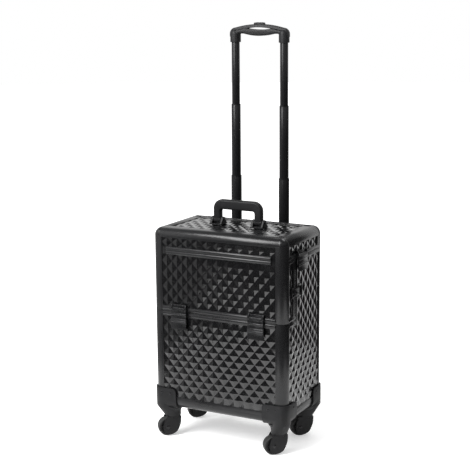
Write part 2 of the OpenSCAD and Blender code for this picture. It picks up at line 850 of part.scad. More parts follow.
// The grip seen from above
module grip_plan() {
  square([tube_span, bar_d], center = true);
  tube_pair() circle(d = grip_d, $fn = 2 * fine);
}
module pull_grip() {
  color("#18181a") difference() {
    translate([0, y_tube, 0]) intersection() {
      along_y(-grip_d / 2, grip_d / 2) grip_outline();
      translate([0, 0, z_stage_1 - cut]) linear_extrude(2 * grip_h) grip_plan();
    }
    tube_pair() translate([0, y_tube, z_stage_1 - cut])
      cylinder(d = stage_1_od + 2 * run, h = socket_depth + cut + gap, $fn = fine);
    translate([-button_w / 2 - gap, y_tube - button_d / 2 - gap, z_well])
      cube([button_w + 2 * gap, button_d + 2 * gap, grip_h]);
  }
}
module release_button() {
  z_button = z_well + button_travel + gap;
  color("#404044") translate([-button_w / 2, y_tube - button_d / 2, z_button])
    cube([button_w, button_d, z_crown + button_up - z_button]);
}
// Rods inside the top stage, each with a plug that works the lock pins
rod_d = 4;
plug_h = 14;
module release_rods() {
  z_rod = z_stage_2 - tube_hold + button_travel + cut;
  color("silver") tube_pair() translate([0, y_tube, z_rod]) {
    cylinder(d = stage_1_od - 2 * tube_t - 2 * gap, h = plug_h, $fn = small);
    cylinder(d = rod_d, h = z_stage_1 + socket_depth - cut - z_rod, $fn = small);
  }
}

// Casters

x_swivel = x_side - swivel_in;
y_swivel = y_face - swivel_in;
boss_r = 19;
boss_h = 27;
stem_r = 5;
stem_h = 14;
swivel_gap = 0.5;
z_boss = z_base - boss_h;

// Copies one of the four corners' pieces from the left front corner
module at_corner(right, rear) {
  mirror([right ? 1 : 0, 0, 0]) mirror([0, rear ? 1 : 0, 0]) children();
}

// Rounded-corner square whose corner lies at -X, -Y, grown by e; its far corner is
// rounded less
shoe_round = 9;
module soft_square(x, y, e) {
  translate([edge_r, edge_r]) circle(edge_r + e, $fn = fine);
  translate([-e, edge_r]) square([x + e - shoe_round, y - edge_r]);
  translate([edge_r, -e]) square([x - edge_r, y + e - shoe_round]);
  translate([x - shoe_round, y - shoe_round]) circle(shoe_round, $fn = small);
}
// Block with its three edges rounded towards one corner, grown by e
module soft_corner(x, y, z, e) {
  intersection() {
    rotate([90, 0, 90]) translate([0, 0, -edge_r]) linear_extrude(x + edge_r) soft_square(y, z, e);
    translate([0, y, 0]) rotate([90, 0, 0]) linear_extrude(y + edge_r) soft_square(x, z, e);
    translate([0, 0, -edge_r]) linear_extrude(z + edge_r) soft_square(x, y, e);
  }
}

// Corner shoe at the left front corner with the swivel's flared boss below
flare = 7;
flare_h = 13;
module caster_shoe() {
  z_flare = z_boss + flare;
  difference() {
    union() {
      translate([-x_side, -y_face, z_base]) soft_corner(shoe_w, shoe_d, shoe_h, shoe_t + gap);
      translate([-x_swivel, -y_swivel, 0]) rotate_extrude($fn = fine) polygon(concat(
        [[0, z_boss], [boss_r, z_boss]],
        [for (a = [0:15:75]) [boss_r + flare * (1 - cos(a)), z_flare + flare_h * sin(a)]],
        [[boss_r + flare, z_base - gap - shoe_t / 2], [0, z_base - gap - shoe_t / 2]]
      ));
      // Web that carries the boss out to the case's corner
      hull() {
        translate([-x_swivel, -y_swivel, z_boss]) cylinder(r = boss_r, h = flare, $fn = fine);
        translate([edge_r - x_side, edge_r - y_face, z_base])
          cylinder(r = edge_r + shoe_t, h = edge_r, $fn = fine);
      }
    }
    translate([-x_side, -y_face, z_base])
      soft_corner(shoe_w + edge_r, shoe_d + edge_r, shoe_h + edge_r, gap);
    translate([-x_swivel, -y_swivel, z_boss - cut])
      cylinder(r = stem_r + run, h = stem_h + cut + gap, $fn = small);
  }
}
module caster_shoe_fl() { color("#1a1a1c") at_corner(false, false) caster_shoe(); }
module caster_shoe_fr() { color("#1a1a1c") at_corner(true, false) caster_shoe(); }
module caster_shoe_rl() { color("#1a1a1c") at_corner(false, true) caster_shoe(); }
module caster_shoe_rr() { color("#1a1a1c") at_corner(true, true) caster_shoe(); }

// Puts a piece drawn about the swivel axis under one corner, turned to trail
module at_swivel(x, y) { translate([x * x_swivel, y * y_swivel, 0]) rotate(trail_yaw) children(); }

wheel_r = wheel_d / 2;
cheek_t = 3.5;
cheek_gap = 1;
axle_r = 3;
fork_top = z_boss - swivel_gap;
fork_plate = 3.5;
hub_r = 9;

// The wheel's dished face and the shoulder of its tread
dish = 2;
dish_from = 6;
tread_edge = 3;

// Edge of a cheek, forward of the swivel axis and above the floor, and the two faces
// of the hood that joins the cheeks behind the wheel
cheek_edge = [[-15.5, 30], [-8.5, 13], [-1, 6.5], [8, 3.5], [17, 3.5], [24, 12], [26, 22], [23, 36]];
hood_edge = [[-15.5, 30], [-8.5, 13], [-6.8, 14.5], [-13, 31], [-14, 40]];

// Fork with its stem and axle; the wheel trails towards +X
module caster_fork() {
  out = wheel_w / 2 + cheek_gap;
  translate([0, 0, fork_top - fork_plate]) cylinder(r = boss_r - 2, h = fork_plate, $fn = fine);
  translate([0, 0, fork_top - cut]) cylinder(r = stem_r, h = stem_h + cut, $fn = small);
  for (y = [-out - cheek_t, out]) along_y(y, y + cheek_t) {
    polygon(concat([[2 - boss_r, fork_top]], cheek_edge, [[boss_r - 2, fork_top]]));
  }
  along_y(-out - cut, out + cut)
    polygon(concat([[2 - boss_r, fork_top]], hood_edge, [[fork_plate - boss_r + 2, fork_top]]));
  translate([trail, -out - cheek_t, wheel_r]) rotate([-90, 0, 0])
    cylinder(r = axle_r, h = 2 * (out + cheek_t), $fn = small);
}
module caster_wheel() {
  translate([trail, wheel_w / 2, wheel_r]) rotate([90, 0, 0]) difference() {
    rotate_extrude($fn = 2 * fine) polygon([
      [0, 0], [hub_r, 0], [hub_r + dish, dish], [wheel_r - dish_from, dish],
      [wheel_r - dish_from + dish, 0], [wheel_r - dish, 0], [wheel_r, tread_edge],
      [wheel_r, wheel_w - tread_edge], [wheel_r - dish, wheel_w],
      [wheel_r - dish_from + dish, wheel_w], [wheel_r - dish_from, wheel_w - dish],
      [hub_r + dish, wheel_w - dish], [hub_r, wheel_w], [0, wheel_w]
    ]);
    translate([0, 0, -cut]) cylinder(r = axle_r + run, h = wheel_w + 2 * cut, $fn = small);
  }
}
module caster_fork_fl() { color("#1d1d1f") at_swivel(-1, -1) caster_fork(); }
module caster_fork_fr() { color("#1d1d1f") at_swivel(1, -1) caster_fork(); }
module caster_fork_rl() { color("#1d1d1f") at_swivel(-1, 1) caster_fork(); }
module caster_fork_rr() { color("#1d1d1f") at_swivel(1, 1) caster_fork(); }
module caster_wheel_fl() { color("#141415") at_swivel(-1, -1) caster_wheel(); }
module caster_wheel_fr() { color("#141415") at_swivel(1, -1) caster_wheel(); }
module caster_wheel_rl() { color("#141415") at_swivel(-1, 1) caster_wheel(); }
module caster_wheel_rr() { color("#141415") at_swivel(1, 1) caster_wheel(); }

placed() base_board();
placed() rear_board();
placed() side_boards();
placed() front_board();
placed() divider_shelf();
placed() front_lower_sheet();
placed() left_side_sheet();
placed() right_side_sheet();
placed() front_posts();
placed() rear_posts();
placed() rear_rails();
placed() bottom_rails();
placed() case_rim();
placed() case_corners();
placed() caster_shoe_fl();
placed() caster_shoe_fr();
placed() caster_shoe_rl();
placed() caster_shoe_rr();
placed() caster_fork_fl();
placed() caster_fork_fr();
placed() caster_fork_rl();
placed() caster_fork_rr();
placed() caster_wheel_fl();
placed() caster_wheel_fr();
placed() caster_wheel_rl();
placed() caster_wheel_rr();
placed() tube_clamp();
placed() tube_foot();
placed() guide_tubes();
placed() stage_3_tubes();
placed() stage_2_tubes();
placed() stage_1_tubes();
placed() pull_grip();
placed() release_button();
placed() release_rods();
placed() case_hinge_leaf();
placed() hinge_pin();
placed() latch_keepers();
placed() cover_top_board();
placed() cover_front_board();
placed() cover_side_boards();
placed() cover_top_sheet();
placed() cover_front_sheets();
placed() cover_left_sheets();
placed() cover_right_sheets();
placed() cover_posts();
placed() cover_rails();
placed() cover_rear_bar();
placed() cover_corners();
placed() cover_rim();
placed() lid_band();
placed() cover_hinge_leaf();
placed() handle_brackets();
placed() carry_handle();
placed() latch_bases();
placed() front_latch_left();
placed() front_latch_right();
placed() side_latch_left();
placed() side_latch_right();
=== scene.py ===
"""Trolley case: visible pieces, finishes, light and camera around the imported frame.

Lengths are in metres. X runs to the right, Y to the back and Z up, as in the frame.
"""

import json
import math

import bmesh
import bpy
from bpy.props import FloatProperty, FloatVectorProperty, PointerProperty
from mathutils import Matrix, Vector


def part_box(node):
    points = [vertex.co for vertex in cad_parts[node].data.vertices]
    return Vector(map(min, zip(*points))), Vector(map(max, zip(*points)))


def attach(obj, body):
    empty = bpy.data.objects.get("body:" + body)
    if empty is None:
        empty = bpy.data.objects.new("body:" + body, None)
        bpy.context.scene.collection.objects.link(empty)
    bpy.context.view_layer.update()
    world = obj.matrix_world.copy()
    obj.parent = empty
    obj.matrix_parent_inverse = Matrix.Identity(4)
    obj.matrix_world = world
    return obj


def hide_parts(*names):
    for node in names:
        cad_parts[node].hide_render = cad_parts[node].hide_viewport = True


bl_info = {
    "name": "Trolley case",
    "version": (1, 0, 0),
    "blender": (4, 5, 0),
    "location": "3D View > Sidebar > Trolley case",
    "description": "Dresses the frame of a trolley case with its panels, profiles and fittings",
    "category": "Object",
}

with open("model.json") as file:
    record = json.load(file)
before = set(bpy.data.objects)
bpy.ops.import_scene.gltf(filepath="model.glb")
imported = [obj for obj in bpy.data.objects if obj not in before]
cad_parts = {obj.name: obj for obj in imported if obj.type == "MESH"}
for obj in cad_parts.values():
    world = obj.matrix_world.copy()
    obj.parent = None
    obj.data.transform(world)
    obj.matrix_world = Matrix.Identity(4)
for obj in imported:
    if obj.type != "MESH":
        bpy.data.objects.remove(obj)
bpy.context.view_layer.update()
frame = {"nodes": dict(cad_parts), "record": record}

MM = 0.001

# Faces and seams of the case, as the frame gives them
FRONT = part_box("front_posts")[0][1]
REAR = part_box("rear_posts")[1][1]
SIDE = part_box("front_posts")[1][0]
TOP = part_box("cover_rails")[1][2]
MIDDLE = (FRONT + REAR) / 2
MID_SEAM = (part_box("front_posts")[1][2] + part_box("cover_posts")[0][2]) / 2
LID_SEAM = (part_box("lid_band")[0][2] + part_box("lid_band")[1][2]) / 2
LID_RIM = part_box("lid_band")[1][2] - LID_SEAM
TUBE_Y = (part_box("stage_1_tubes")[0][1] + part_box("stage_1_tubes")[1][1]) / 2
TUBE_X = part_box("stage_1_tubes")[1][0] - (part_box("stage_1_tubes")[1][1] - TUBE_Y)
# The upright seam on the sides, and the height of a bar of the opening's rim
UPRIGHT_SEAM, RIM = FRONT + 51 * MM, 12 * MM

# Which material slot and body every CAD node belongs to
NODE_SLOT = {row["node"]: row["material_slot"] for row in frame["record"]["subparts"]}
NODE_BODY = {
    node: body
    for body, nodes in frame["record"]["behaviour"]["bodies"].items()
    for node in nodes
}


# Shader maths and materials

# Rays that show the background
RAYS = ("Camera", "Glossy", "Transmission")


def grey(level):
    return (level, level, level, 1.0)


def tone(colour, gain=1.0, lift=0.0):
    """A colour of the sidebar with its alpha, scaled and lifted."""
    return tuple(c * gain + lift for c in colour) + (1.0,)


class Wire:
    """A shader value. Arithmetic on it adds Math nodes to its finish."""

    def __init__(self, finish, socket):
        self.finish = finish
        self.socket = socket

    def with_other(self, operation, first, second):
        return self.finish.node("ShaderNodeMath", {"operation": operation}, {0: first, 1: second})

    def __add__(self, other):
        return self.with_other("ADD", self, other)

    def __sub__(self, other):
        return self.with_other("SUBTRACT", self, other)

    def __rsub__(self, other):
        return self.with_other("SUBTRACT", other, self)

    def __mul__(self, other):
        return self.with_other("MULTIPLY", self, other)

    __radd__ = __add__
    __rmul__ = __mul__


class Nodes:
    """The node tree of a material or a world."""

    def __init__(self, holder):
        holder.use_nodes = True
        self.tree = holder.node_tree
        self.tree.nodes.clear()

    def feed(self, socket, value):
        if isinstance(value, Wire):
            self.tree.links.new(value.socket, socket)
        else:
            socket.default_value = value

    def node(self, kind, settings, sockets, output=0):
        """Adds a node, sets it up, feeds its sockets and returns one output."""
        made = self.tree.nodes.new(kind)
        for key, value in settings.items():
            if key == "stops":
                stops = made.color_ramp.elements
                while len(stops) < len(value):
                    stops.new(1.0)
                for stop, (place, colour) in zip(stops, value):
                    stop.position, stop.color = place, colour
            else:
                setattr(made, key, value)
        for key, value in sockets.items():
            self.feed(made.inputs[key], value)
        return Wire(self, made.outputs[output]) if output is not None else None

    def blend(self, mask, first, second):
        """Colour that goes from first to second as the mask goes from 0 to 1."""
        return self.node("ShaderNodeMix", {"data_type": "RGBA"}, {0: mask, 6: first, 7: second}, 2)

    def seen(self):
        """One for rays that show the background: from the camera, off gloss or through glass."""
        mask, *others = (
            self.node("ShaderNodeLightPath", {}, {}, f"Is {kind} Ray") for kind in RAYS
        )
        for ray in others:
            mask = mask.with_other("MAXIMUM", mask, ray)
        return mask


class Finish(Nodes):
    """A procedural material on Object coordinates."""

    def __init__(self, name):
        self.material = bpy.data.materials.new(name)
        super().__init__(self.material)
        self.shader = self.tree.nodes.new("ShaderNodeBsdfPrincipled")
        output = self.tree.nodes.new("ShaderNodeOutputMaterial")
        self.tree.links.new(self.shader.outputs[0], output.inputs["Surface"])

    def surface(self, **sockets):
        """Feeds the shader's own sockets, named in lower case."""
        names = {socket.name.lower().replace(" ", "_"): socket for socket in self.shader.inputs}
        for key, value in sockets.items():
            self.feed(names[key], value)

    def coordinates(self, stretch=(1, 1, 1)):
        spot = self.node("ShaderNodeTexCoord", {}, {}, "Object")
        return self.node("ShaderNodeMapping", {}, {"Vector": spot, "Scale": stretch})

    def noise(self, scale, detail=2.0, stretch=(1, 1, 1)):
        """Soft noise around zero, from about -0.5 to 0.5."""
        sockets = {"Vector": self.coordinates(stretch), "Scale": scale, "Detail": detail}
        return self.node("ShaderNodeTexNoise", {}, sockets) - 0.5

    def ramp(self, value, low, high):
        """Zero under low, one over high."""
        sockets = {"Value": value, "From Min": low, "From Max": high}
        return self.node("ShaderNodeMapRange", {"interpolation_type": "SMOOTHSTEP"}, sockets)

    def paint(self, value, low, high, colour, gain, lift=0.0):
        """Base colour, scaled and lifted where a value rises from low to high."""
        mask = self.ramp(value, low, high)
        self.surface(base_color=self.blend(mask, tone(colour), tone(colour, gain, lift)))

    def bump(self, height, distance, strength=1.0):
        sockets = {"Height": height, "Distance": distance, "Strength": strength}
        self.feed(self.shader.inputs["Normal"], self.node("ShaderNodeBump", {}, sockets))


def satin_profile(finish, colours):
    """Black anodised profile: a fine satin that drifts a little in tone and sheen."""
    drift, grain = finish.noise(9.0, 3.0), finish.noise(1900.0, 2.0)
    finish.paint(drift, -0.2, 0.4, colours.profile, 1.4, 0.001)
    finish.surface(
        metallic=0.1,
        roughness=0.28 + 0.1 * drift + 0.05 * grain,
        specular_ior_level=0.36,
    )
    finish.bump(grain, 0.000006, 0.35)


def embossed_gloss(finish, colours):
    """Glossy black sheet: nearly even, with orange peel and a few duller smears."""
    peel, smear = finish.noise(520.0, 1.0), finish.noise(14.0, 4.0)
    speck = finish.noise(2600.0, 1.0)
    finish.paint(smear, 0.05, 0.4, colours.sheet, 2.2, 0.003)
    finish.surface(
        roughness=0.15 + 0.16 * smear + 0.04 * speck,
        specular_ior_level=0.45,
        coat_weight=0.25,
        coat_roughness=0.08,
    )
    finish.bump(peel + 0.2 * speck, 0.00012, 0.25)


def moulded_black(finish, colours):
    """Moulded black plastic with a fine leathery grain that dulls its sheen."""
    sockets = {"Vector": finish.coordinates(), "Scale": 1300.0}
    pores = finish.node("ShaderNodeTexVoronoi", {"feature": "SMOOTH_F1"}, sockets)
    drift = finish.noise(22.0, 3.0)
    finish.paint(drift, -0.1, 0.45, colours.moulding, 1.8, 0.004)
    finish.surface(roughness=0.5 + 0.1 * drift, specular_ior_level=0.2)
    finish.bump(pores, 0.00005, 0.5)


def grip_black(finish, colours):
    """Smoother plastic of the handles, polished a little where hands hold it."""
    drift, grain = finish.noise(30.0, 3.0), finish.noise(1300.0, 2.0)
    finish.paint(drift, -0.2, 0.4, colours.moulding, 1.5, 0.001)
    finish.surface(roughness=0.46 + 0.08 * drift + 0.03 * grain, specular_ior_level=0.15)
    finish.bump(grain, 0.00001, 0.3)


def enamelled_tube(finish, colours):
    """Black enamelled tube with faint lines along its length from sliding."""
    lines, drift = finish.noise(420.0, 2.0, (1, 1, 0.012)), finish.noise(16.0, 2.0)
    finish.paint(lines, 0.05, 0.35, colours.tube, 1.8, 0.002)
    finish.surface(
        metallic=0.1,
        roughness=0.25 + 0.03 * lines + 0.04 * drift,
        specular_ior_level=0.14,
    )
    finish.bump(lines, 0.000005, 0.5)


def tyre_rubber(finish, colours):
    """Dull tread rubber, scuffed paler in patches."""
    scuff, grain = finish.noise(160.0, 5.0), finish.noise(1500.0, 3.0)
    finish.paint(scuff, 0.02, 0.4, colours.tyre, 3.0, 0.01)
    finish.surface(roughness=0.62 + 0.2 * scuff, specular_ior_level=0.4)
    finish.bump(grain, 0.00008, 0.5)


def bright_steel(finish, colours):
    """Zinc-plated steel of pins, rods and rivets, with a mottled, brushed sheen."""
    mottle, brush = finish.noise(300.0, 4.0), finish.noise(900.0, 2.0, (0.06, 1, 1))
    mask = finish.ramp(mottle, -0.3, 0.3)
    finish.surface(
        base_color=finish.blend(mask, tone(colours.steel, 0.7), tone(colours.steel)),
        metallic=1.0,
        roughness=0.3 + 0.2 * mottle + 0.1 * brush,
    )
    finish.bump(brush, 0.00002, 0.4)


def black_nickel(finish, colours):
    """Dark plated metal of the latches and screws, worn bright in specks."""
    drift, speck = finish.noise(60.0, 4.0), finish.noise(1700.0, 2.0)
    finish.paint(drift + 0.4 * speck, 0.1, 0.5, colours.latch, 2.0, 0.01)
    finish.surface(
        metallic=0.4,
        roughness=0.27 + 0.16 * drift + 0.06 * speck,
        specular_ior_level=0.35,
    )
    finish.bump(speck, 0.00002, 0.3)


def lined_board(finish, colours):
    """Board covered in black paper, with a pressed linen grain."""
    warp = finish.noise(900.0, 2.0, (1, 1, 0.1))
    weft = finish.noise(900.0, 2.0, (0.1, 0.1, 1))
    drift = finish.noise(12.0, 3.0)
    finish.paint(drift + 0.5 * (warp + weft), -0.2, 0.5, colours.board, 1.9, 0.004)
    finish.surface(roughness=0.72 + 0.12 * drift)
    finish.bump(warp + weft, 0.0001, 0.6)


def shelf_sheet(finish, colours):
    """Powder-coated grey shelf with a fine pebbled skin."""
    pebble, drift = finish.noise(1100.0, 2.0), finish.noise(10.0, 3.0)
    finish.paint(drift, -0.3, 0.4, colours.shelf, 1.35)
    finish.surface(metallic=0.2, roughness=0.5 + 0.12 * drift)
    finish.bump(pebble, 0.00008, 0.6)


FINISHES = {
    "board": lined_board,
    "shelf": shelf_sheet,
    "diamond_sheet": embossed_gloss,
    "profile": satin_profile,
    "shoe": moulded_black,
    "tyre": tyre_rubber,
    "tube": enamelled_tube,
    "steel": bright_steel,
    "latch_metal": black_nickel,
    "grip": grip_black,
}
made_finishes = {}


def finish_of(slot):
    """The material of a slot, made once from the colours in the sidebar."""
    if slot not in made_finishes:
        dress = FINISHES[slot]
        finish = Finish(dress.__name__)
        dress(finish, bpy.context.scene.case_colours)
        made_finishes[slot] = finish.material
    return made_finishes[slot]


# Modelling

ACROSS, BACK, UP = Vector((1, 0, 0)), Vector((0, 1, 0)), Vector((0, 0, 1))
MIRROR_X = Matrix.Diagonal((-1, 1, 1, 1))
# Distance in metres at which vertices merge, and turn in degrees up to which faces do
MERGE, FLAT_ANGLE = 0.002 * MM, 0.6
# Degrees of turn above which an edge is drawn sharp, and above which a copied one is rounded
SHARP_ANGLE, COPY_ANGLE = 32, 35
# Steps in a domed head's curve, how deep it sits, and its cross recess: half its length and
# width by the head's radius, its floor by the head's height, and its turn
DOME_STEPS, DOME_SUNK = 6, 0.3
RECESS_HALF, RECESS_SLOT, RECESS_FLOOR, RECESS_TURN = 0.62, 0.13, 0.35, 0.6
# Side of the case and end of it at each corner, by its word in the nodes' names
CORNERS = {"fl": (-1, -1), "fr": (1, -1), "rl": (-1, 1), "rr": (1, 1)}


def point(x, y, z):
    """A place given in millimetres."""
    return Vector((x, y, z)) * MM


def only(*pieces):
    """Leaves edit mode and selects just these pieces."""
    if bpy.context.object and bpy.context.object.mode != "OBJECT":
        bpy.ops.object.mode_set(mode="OBJECT")
    bpy.ops.object.select_all(action="DESELECT")
    for piece in pieces:
        piece.select_set(True)
    bpy.context.view_layer.objects.active = pieces[0] if pieces else None


def edit(piece):
    """Opens a piece in edit mode with all of it selected."""
    only(piece)
    bpy.ops.object.mode_set(mode="EDIT")
    bpy.ops.mesh.select_mode(type="VERT")
    bpy.ops.mesh.select_all(action="SELECT")


def close(piece):
    """Merges doubles, turns the faces outwards and leaves edit mode."""
    edit(piece)
    bpy.ops.mesh.remove_doubles(threshold=MERGE)
    bpy.ops.mesh.normals_make_consistent(inside=False)
    only(piece)
    return piece


def select_where(piece, kind, test):
    """Opens a piece in edit mode with the vertices, edges or faces that pass a test selected."""
    edit(piece)
    bpy.ops.mesh.select_mode(type=kind)
    bpy.ops.mesh.select_all(action="DESELECT")
    mesh = bmesh.from_edit_mesh(piece.data)
    parts = {"VERT": mesh.verts, "EDGE": mesh.edges, "FACE": mesh.faces}[kind]
    for part in parts:
        if test(part):
            part.select_set(True)
    mesh.select_flush_mode()
    bmesh.update_edit_mesh(piece.data)


def trace(name, points, closed=True):
    """Draws a line point by point from one merged vertex, and fills it if it is closed."""
    only()
    bpy.ops.mesh.primitive_plane_add(size=MM)
    piece = bpy.context.object
    piece.name = name
    edit(piece)
    bpy.ops.mesh.merge(type="CENTER")
    bpy.ops.transform.translate(value=points[0])
    path = points + points[:1] if closed else points
    for here, there in zip(path, path[1:]):
        bpy.ops.mesh.extrude_vertices_move(TRANSFORM_OT_translate={"value": there - here})
    bpy.ops.mesh.select_all(action="SELECT")
    bpy.ops.mesh.remove_doubles(threshold=MERGE)
    if closed:
        bpy.ops.mesh.edge_face_add()
    only(piece)
    return piece


def plate(name, points, depth):
    """A closed outline, extruded by a vector."""
    piece = trace(name, points)
    edit(piece)
    bpy.ops.mesh.extrude_region_move(TRANSFORM_OT_translate={"value": depth})
    return close(piece)


def turned(name, profile, centre, axis, steps):
    """A profile of places, spun once about an axis."""
    piece = trace(name, profile, closed=False)
    edit(piece)
    bpy.ops.mesh.spin(steps=steps, angle=math.tau, center=centre, axis=axis)
    return close(piece)


def apply_all(piece):
    only(piece)
    for modifier in list(piece.modifiers):
        bpy.ops.object.modifier_apply(modifier=modifier.name)
    return piece


def rounded(piece, width, segments=2, angle=40):
    """Rounds the edges that turn by more than an angle."""
    only(piece)
    bevel = piece.modifiers.new("edges", "BEVEL")
    bevel.width, bevel.segments = width * MM, segments
    bevel.limit_method, bevel.angle_limit = "ANGLE", math.radians(angle)
    bevel.use_clamp_overlap = True
    return apply_all(piece)


def combined(operation, piece, *others):
    """Merges pieces with another or cuts them out of it, and removes them."""
    for other in others:
        modifier = piece.modifiers.new("combined", "BOOLEAN")
        modifier.operation, modifier.solver, modifier.object = operation, "EXACT", other
        apply_all(piece)
        bpy.data.objects.remove(other)
    return piece


def joined(name, *pieces):
    only(*pieces)
    if len(pieces) > 1:
        bpy.ops.object.join()
    pieces[0].name = name
    return pieces[0]


def moved(piece, place):
    piece.data.transform(Matrix.Translation(place))
    return piece


def eased_corners(piece, axis, width):
    """Rounds a plate's corners, whose edges run along an axis from 0 to 2."""
    select_where(piece, "EDGE", lambda e: abs(e.verts[0].co[axis] - e.verts[1].co[axis]) > MM)
    bpy.ops.mesh.bevel(offset=width * MM, segments=4)
    return close(piece)


def copied(piece, name, matrix):
    """A copy with its own mesh, placed by a matrix that may mirror it."""
    only(piece)
    bpy.ops.object.duplicate()
    twin = bpy.context.object
    twin.name = name
    twin.data.transform(matrix)
    return close(twin) if matrix.determinant() < 0 else twin


def pair(across, up):
    return across, up


def arc(centre, radius, start, end, steps, place=pair):
    """Places on an arc between two angles in degrees; place turns two numbers into a point."""
    angles = (math.radians(start + (end - start) * i / steps) for i in range(steps + 1))
    return [
        place(centre[0] + radius * math.cos(a), centre[1] + radius * math.sin(a)) for a in angles
    ]


def corners(low, high, place=pair):
    """The corners of an oblong, in their order round it."""
    return [place(*c) for c in (low, (high[0], low[1]), high, (low[0], high[1]))]


def bar(name, line, start, width):
    """A bar along X, from a line of places out of the face and up."""
    return plate(name, [point(start, -out, z) for out, z in line], point(width, 0, 0))


def rod(name, radius, start, end, out=0, ease=0.4):
    """A round bar along X with eased ends, at a distance out of the face."""
    profile = [(start, 0), (start, radius - ease), (start + ease, radius)]
    profile += [(end - ease, radius), (end, radius - ease), (end, 0)]
    places = [point(x, -out, r) for x, r in profile]
    return turned(name, places, point(0, -out, 0), ACROSS, 32)


def facing(centre, direction):
    """Matrix that sets a head on a face that looks in a direction."""
    return Matrix.Translation(centre) @ UP.rotation_difference(direction).to_matrix().to_4x4()


def dome(name, radius, height, centre, direction):
    """A domed head that stands on a face."""
    profile = [point(0, 0, height)]
    for i in range(1, DOME_STEPS + 1):
        a = math.pi / 2 * i / DOME_STEPS
        profile.append(point(radius * math.sin(a), 0, height * math.cos(a)))
    profile += [point(radius, 0, -DOME_SUNK), point(0, 0, -DOME_SUNK)]
    piece = turned(name, profile, (0, 0, 0), UP, 24)
    piece.data.transform(facing(centre, direction))
    return piece


def screw(radius, height, centre, direction):
    """A domed screw head with a cross recess."""
    head = dome("screw", radius, height, Vector(), UP)
    half, slot = radius * RECESS_HALF, radius * RECESS_SLOT
    for a, b in ((half, slot), (slot, half)):
        edge = corners((-a, -b), (a, b), lambda x, y: point(x, y, height * RECESS_FLOOR))
        combined("DIFFERENCE", head, plate("bit", edge, point(0, 0, height)))
    head.data.transform(facing(centre, direction) @ Matrix.Rotation(RECESS_TURN, 4, "Z"))
    return head


def add_on(piece, node, slot, angle=SHARP_ANGLE):
    """Gives a piece a finish, and the body of a CAD node."""
    only(piece)
    bpy.ops.object.shade_smooth_by_angle(angle=math.radians(angle))
    piece.data.materials.clear()
    piece.data.materials.append(finish_of(slot))
    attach(piece, NODE_BODY[node])


def fit(piece, node, slot=None, angle=SHARP_ANGLE):
    """Dresses a piece and lets it stand for a CAD node."""
    add_on(piece, node, slot or NODE_SLOT[node], angle)
    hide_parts(node)


def soft_copy(node, width):
    """A copy of a CAD node's mesh, made whole and given rounded edges."""
    piece = bpy.data.objects.new("soft_" + node, frame["nodes"][node].data.copy())
    bpy.context.scene.collection.objects.link(piece)
    edit(piece)
    bpy.ops.mesh.remove_doubles(threshold=MERGE)
    bpy.ops.mesh.dissolve_limited(angle_limit=math.radians(FLAT_ANGLE))
    only(piece)
    fit(rounded(piece, width, angle=COPY_ANGLE), node)


# Embossed sheets

# Share of their height to which the diamonds rise at the border, where the frame presses them
BORDER_RISE = 0.6
# How far the lid's band stops short of the posts
BAND_SHORT = 11 * MM
# The facets turn by more than this many degrees, and their edges are rounded by this much
FACET_ANGLE, CREST_ROUND = 4, 0.8
# Share of the sheet's thickness that its wall gets behind the facets
WALL_SHARE = 0.9


def embossed(name, width, height, lay, more_w=0.0, more_h=0.0):
    """A sheet of raised diamonds from a grid, laid by a matrix.

    A stepped sheet goes on for more_w to the right, where it is more_h higher.
    """
    sizes = bpy.context.scene.case_sizes
    near_columns = max(2, round(width / sizes.diamond_width))
    near_rows = max(2, round(height / sizes.diamond_height))
    columns = near_columns + round(more_w / sizes.diamond_width)
    rows = near_rows + round(more_h / sizes.diamond_height)
    only()
    bpy.ops.mesh.primitive_grid_add(x_subdivisions=columns, y_subdivisions=rows, size=1)
    piece = bpy.context.object
    piece.name = name

    def cell(co):
        return (co.x + 0.5) * columns, (co.y + 0.5) * rows

    def spaced(i, near, size, full, more):
        """Place of a line of the grid, evenly spaced up to the step and again beyond it."""
        beyond = i - near
        return size + beyond * more / (full - near) if beyond > 0 else i * size / near

    def kept(i, j):
        return 0 <= i < columns and 0 <= j < rows and (i >= near_columns or j < near_rows)

    def valley(vertex):
        i, j = cell(vertex.co)
        return (round(i) + round(j)) % 2 == 1

    def inside(vertex):
        i, j = (round(c) for c in cell(vertex.co))
        return all(kept(i - a, j - b) for a in (0, 1) for b in (0, 1))

    def left_out(face):
        i, j = cell(face.calc_center_median())
        return not kept(math.floor(i), math.floor(j))

    select_where(piece, "VERT", valley)
    bpy.ops.mesh.vert_connect()
    for rise, place in ((sizes.emboss, True), (sizes.emboss * BORDER_RISE, False)):
        select_where(piece, "VERT", lambda vertex: inside(vertex) == place and not valley(vertex))
        bpy.ops.transform.translate(value=(0, 0, rise))
    select_where(piece, "FACE", left_out)
    bpy.ops.mesh.delete(type="FACE")
    only(piece)
    for vertex in piece.data.vertices:
        i, j = cell(vertex.co)
        vertex.co.x = spaced(i, near_columns, width, columns, more_w)
        vertex.co.y = spaced(j, near_rows, height, rows, more_h)
        vertex.co.z += sizes.sheet_wall
    rounded(piece, CREST_ROUND, angle=FACET_ANGLE)
    wall = piece.modifiers.new("wall", "SOLIDIFY")
    wall.thickness, wall.offset = sizes.sheet_wall * WALL_SHARE, -1
    wall.use_even_offset = False
    apply_all(piece)
    piece.data.transform(lay)
    return close(piece)


def laid(origin, across, up, out):
    """Matrix that lays a sheet drawn in X and Y on a face of the case."""
    return Matrix.Translation(origin) @ Matrix((across, up, out)).transposed().to_4x4()


def front_sheet(name, node, z_from, z_to):
    low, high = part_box(node)
    return embossed(
        name, high[0] - low[0], z_to - z_from, laid((low[0], high[1], z_from), ACROSS, UP, -BACK)
    )


